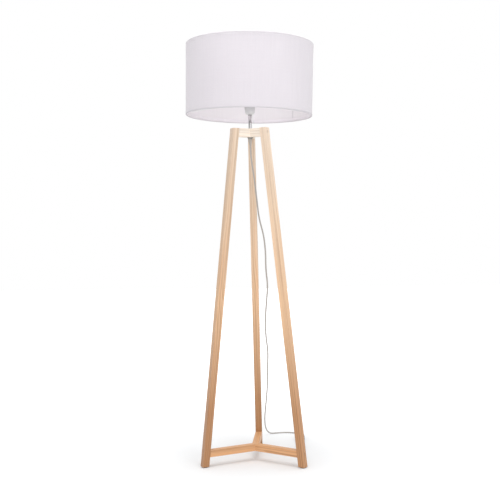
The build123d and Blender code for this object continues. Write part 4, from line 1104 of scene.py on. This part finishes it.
class LAMP_OT_shade(LampOperator):
    """Build the shade's cover, hemmed over its wires, with its overlapped seam"""

    bl_idname = "lamp.shade"
    bl_label = "Shade"

    # The radius that the hems are bent round, how far the cloth is turned in, and the seam's azimuth.
    wire = 0.00185
    flap = 0.0125
    seam = radians(47.5)

    def execute(self, context):
        self.cover(context.scene.lamp_shade)
        paint = plastic_finish("White wire paint", (0.80, 0.79, 0.80), 0.32, grain=0.00003)
        for name in ("top_hoop", "bottom_hoop"):
            self.hoop(name, paint)
        self.spider(paint)
        return {"FINISHED"}

    def cover(self, look):
        """The cover: its section turned about the axis, with more sides at the seam's two edges."""
        thick, flap, seam = look.cloth_thickness, self.flap, self.seam
        low, high, outer = SHADE_LOW.z, SHADE_HIGH.z, SHADE_RADIUS
        profile, kinds = self.section(thick)
        sweep = look.seam_width / outer
        close = np.array([-0.0035, -0.0012, -0.0004, 0.0004, 0.0012, 0.0035])
        even = np.arange(300) * tau / 300
        even = even[(even < seam - 0.006) | (even > seam + sweep + 0.006)]
        between = seam + sweep * np.linspace(0.15, 0.85, 5)
        angles = np.sort(np.concatenate([even, seam + close, seam + sweep + close, between]))
        points, faces = turned(profile, relief=self.relief(sweep, thick), angles=angles)

        i, j = np.divmod(np.arange(len(faces)), len(angles))
        steps = np.linalg.norm(np.roll(profile, -1, 0) - profile, axis=1)
        along = np.concatenate([[0], np.cumsum(steps)])
        around = np.append(angles, angles[0] + tau) * outer
        u = np.stack([around[j], around[j + 1], around[j + 1], around[j]], 1)
        v = np.stack([along[i], along[i], along[i + 1], along[i + 1]], 1)
        finishes = [cloth_finish(), lining_finish(seam * outer), hem_finish()]
        cover = mesh_piece("shade_cloth", leaned(points), faces, finishes, "shade", "shade_fabric",
                           uv=np.stack([u, v], -1), face_materials=kinds[i])
        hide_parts("shade_cover")

    def section(self, thick):
        """The cover's section, and for each of its steps whether it is cloth (0), lining (1) or hem (2).

        It runs up the outside, over the top wire in a half circle, down the turned-in flap, back round the
        wire, down the lining, and round the bottom wire in the same way.
        """
        low, high, outer = SHADE_LOW.z, SHADE_HIGH.z, SHADE_RADIUS
        wire, flap = self.wire, self.flap
        hug = wire + thick
        middle = outer - hug
        edge = middle - hug
        bend = np.linspace(0, pi, 15)
        wall = np.linspace(low + hug + 0.0015, high - hug - 0.002, 40)
        outside = np.stack([np.full(len(wall), outer), wall], 1)
        inside = np.stack([np.full(len(wall), outer - thick), wall[::-1]], 1)
        top_out = np.stack([middle + hug * np.cos(bend), high - hug + hug * np.sin(bend)], 1)
        top_in = np.stack([middle - wire * np.cos(bend), high - hug + wire * np.sin(bend)], 1)
        low_in = np.stack([middle + wire * np.cos(bend), low + hug - wire * np.sin(bend)], 1)
        low_out = np.stack([middle - hug * np.cos(bend), low + hug - hug * np.sin(bend)], 1)
        top_flap = [(edge, high - flap + 0.0003), (edge + 0.0003, high - flap), (edge + thick, high - flap)]
        low_flap = [(edge + thick, low + flap), (edge + 0.0003, low + flap), (edge, low + flap - 0.0003)]
        profile = np.vstack([outside, top_out, top_flap, top_in, inside, low_in, low_flap, low_out])

        step = np.arange(len(profile))
        lining_start = len(outside) + len(top_out) + len(top_flap) + len(top_in) - 1
        lining = (step >= lining_start) & (step <= lining_start + len(inside))
        top_hem = (step > len(outside) - 2) & (step < len(outside) + len(top_out) - 2)
        low_hem = step > len(profile) - len(low_out) + 1
        return profile, np.select([lining, top_hem | low_hem], [1, 2], 0)

    def relief(self, sweep, thick):
        """The cover's overlap: between the seam's two angles the inner wall steps in by nine tenths of a
        thickness, and the outer end of the cloth leaves a fine line. The wall is out of round by a few tenths
        of a millimetre, the sum of slow sines round the shade, and the flap's edge wavers."""
        low, high, outer, seam = SHADE_LOW.z, SHADE_HIGH.z, SHADE_RADIUS, self.seam

        def shape(a, r, z):
            from_end = np.minimum(z - low, high - z)
            inside = (r < outer - 0.5 * thick) & (r > outer - 1.5 * thick) & (from_end > 0.006)
            rise = np.clip((a - seam + 0.0008) / 0.0016, 0, 1)
            fall = np.clip((seam + sweep + 0.0008 - a) / 0.0016, 0, 1)
            r = r - np.where(inside, 0.9 * thick * rise * fall, 0)
            line = np.exp(-((a - seam - sweep) / 0.0009) ** 2)
            r = r - np.where(r > outer - 0.2 * thick, 0.00030 * line, 0)
            body = np.clip(from_end / 0.03, 0, 1)
            waves = np.sin(5 * a + 0.7) + 0.6 * np.sin(13 * a + 2.1) + 0.4 * np.sin(29 * a)
            r = r - body * 0.00022 * (2 + waves)
            flap = (r < outer - 0.0045) & (from_end > 0.009)
            inward = np.where(z > (low + high) / 2, 1.0, -1.0)
            z = z + np.where(flap, inward * 0.0004 * (np.sin(23 * a) + np.sin(61 * a + 1.0)), 0)
            return r, z
        return shape

    @staticmethod
    def hoop(name, paint):
        """A round wire: a circle as high as the hoop's box, turned about the axis."""
        low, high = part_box(name)
        half = (high.z - low.z) / 2
        turn = np.arange(20) * tau / 20
        ring = np.stack([high.x - half + half * np.cos(turn), low.z + half + half * np.sin(turn)], 1)
        points, faces = turned(ring, 288)
        hoop = mesh_piece(f"{name}_wire", leaned(points), faces, paint, "shade", "white_wire")
        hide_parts(name)

    @staticmethod
    def spider(paint):
        """The arms follow the shade's lean at the hoop and stay level at the hub: the weight of the lean is
        the smooth step 3 s^2 - 2 s^3 of the way s from one to the other."""
        hub, arm = 0.027, 0.173
        points, faces = merged("shade_spider")
        way = np.clip((np.hypot(points[:, 0], points[:, 1]) - hub) / arm, 0, 1)
        points = leaned(points, way * way * (3 - 2 * way))
        spider = mesh_piece("spider_wires", points, faces, paint, "shade", "white_wire")
        spider.data.set_sharp_from_angle(angle=radians(45))
        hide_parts("shade_spider")


class LAMP_OT_fittings(LampOperator):
    """Finish the switch, plug and bundle tie on the cord"""

    bl_idname = "lamp.fittings"
    bl_label = "Switch and plug"

    def execute(self, context):
        look = context.scene.lamp_cord
        moulded = plastic_finish("Moulded fittings", toned(look.sheath, 0.92), 0.44, grain=0.00006)
        rocker = plastic_finish("Rocker", toned(look.sheath, 0.70), 0.26, grain=0.00002)
        dress(moulded, "switch_base", "switch_cover", "plug_body")
        dress(rocker, "switch_rocker")
        dress(bpy.data.materials["Cord sheath"], "supply_core")
        glands = self.glands(moulded)
        tie = self.tie()
        return {"FINISHED"}

    def glands(self, moulded):
        """The ringed sleeves at both ends of the switch, one turned round to face the other."""
        length, bore = 0.009, 0.0029
        z = np.linspace(0, length, 46)
        taper = np.stack([np.interp(z, [0, length], [0.0041, 0.0053]), z], 1)
        outline = np.vstack([
            [(bore, -0.00005), (0.0036, -0.00005)], taper, [(bore, length), (bore, length / 2)]])
        points, faces = turned(outline, 48, self.rings)
        near = laid_on_tail(points, SWITCH_START, SWITCH_AXIS)
        far = laid_on_tail(points * (1, -1, -1), SWITCH_START + SWITCH_LENGTH, SWITCH_AXIS)
        glands = mesh_piece("switch_reliefs", *joined([(near, faces), (far, faces)]), moulded, "stand",
                            "cord_plastic")
        outward(glands)
        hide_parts("switch_glands")
        return glands

    @staticmethod
    def rings(a, r, z):
        """Rings round a gland: its radius dips as a sine of the height."""
        ringed = (r > 0.0038) & (z > 0.0008) & (z < 0.0082)
        return r - np.where(ringed, 0.0006 * (0.5 + 0.5 * np.sin(z * tau / 0.0018)), 0), z

    @staticmethod
    def tie():
        """The strap round the bundle: a flat band carried round a rectangle with quarter circles for corners.
        Each point of the band's section lies so far out from the loop, along its normal, and so far along the
        bundle."""
        strap = plastic_finish("Tie strap", (0.018, 0.018, 0.02), 0.55, grain=0.0001)
        centre, half_width, half_height, corner = 0.0092, 0.0166, 0.0083, 0.0030
        half_band, inner, outer = 0.006, 0.0001, 0.0009
        t = np.linspace(0, pi / 2, 9)
        loop = np.vstack([
            np.stack([x * (half_width - corner) + corner * np.cos(start + t),
                      y * (half_height - corner) + corner * np.sin(start + t)], 1)
            for start, x, y in ((0, 1, 1), (pi / 2, -1, 1), (pi, -1, -1), (3 * pi / 2, 1, -1))])
        tangent = np.roll(loop, -1, 0) - np.roll(loop, 1, 0)
        normal = np.stack([tangent[:, 1], -tangent[:, 0]], 1) / np.linalg.norm(tangent, axis=1)[:, None]
        band = [(inner, -half_band), (outer, -half_band), (outer, half_band), (inner, half_band)]
        band = rounded(band, 0.0003, 3)
        flat = loop[:, None] + normal[:, None] * band[None, :, :1]
        along = np.broadcast_to(band[:, 1], flat.shape[:2])
        points = np.stack([flat[..., 0], flat[..., 1], along], -1).reshape(-1, 3)
        faces = grid_faces(len(loop), len(band), True, True)
        tie = mesh_piece("bundle_tie", laid_on_tail(points, BUNDLE_MIDDLE, centre), faces, strap, "stand",
                         "tie_plastic")
        outward(tie)
        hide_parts("hank_tie")
        return tie


# ------------------------------------------------------------------ panel and registration


SETTINGS = {
    "lamp_timber": TimberSettings,
    "lamp_shade": ShadeSettings,
    "lamp_hardware": HardwareSettings,
    "lamp_cord": CordSettings,
    "lamp_stage": StageSettings,
}
OPERATORS = {
    "lamp_stage": [LAMP_OT_stage],
    "lamp_cord": [LAMP_OT_cord, LAMP_OT_fittings],
    "lamp_timber": [LAMP_OT_timber],
    "lamp_hardware": [LAMP_OT_stem, LAMP_OT_lampholder, LAMP_OT_bulb],
    "lamp_shade": [LAMP_OT_shade],
}


class LAMP_PT_floor_lamp(bpy.types.Panel):
    """Lists the lamp's settings and the operators that build and finish its pieces"""

    bl_label = "Floor Lamp"
    bl_space_type = "VIEW_3D"
    bl_region_type = "UI"
    bl_category = "Floor Lamp"

    def draw(self, context):
        for settings, operators in OPERATORS.items():
            box = self.layout.box()
            group = getattr(context.scene, settings)
            for name in group.__annotations__:
                box.prop(group, name)
            for entry in operators:
                box.operator(entry.bl_idname)


CLASSES = [*SETTINGS.values(), *sum(OPERATORS.values(), []), LAMP_PT_floor_lamp]


def register():
    for entry in CLASSES:
        bpy.utils.register_class(entry)
    for name, group in SETTINGS.items():
        setattr(bpy.types.Scene, name, PointerProperty(type=group))


def unregister():
    for name in SETTINGS:
        delattr(bpy.types.Scene, name)
    for entry in reversed(CLASSES):
        bpy.utils.unregister_class(entry)


def main():
    """Builds and finishes the lamp, the cord before the fittings that need it."""
    register()
    for name in ("stage", "cord", "timber", "stem", "lampholder", "bulb", "shade", "fittings"):
        getattr(bpy.ops.lamp, name)()


if __name__ == "__main__":
    main()
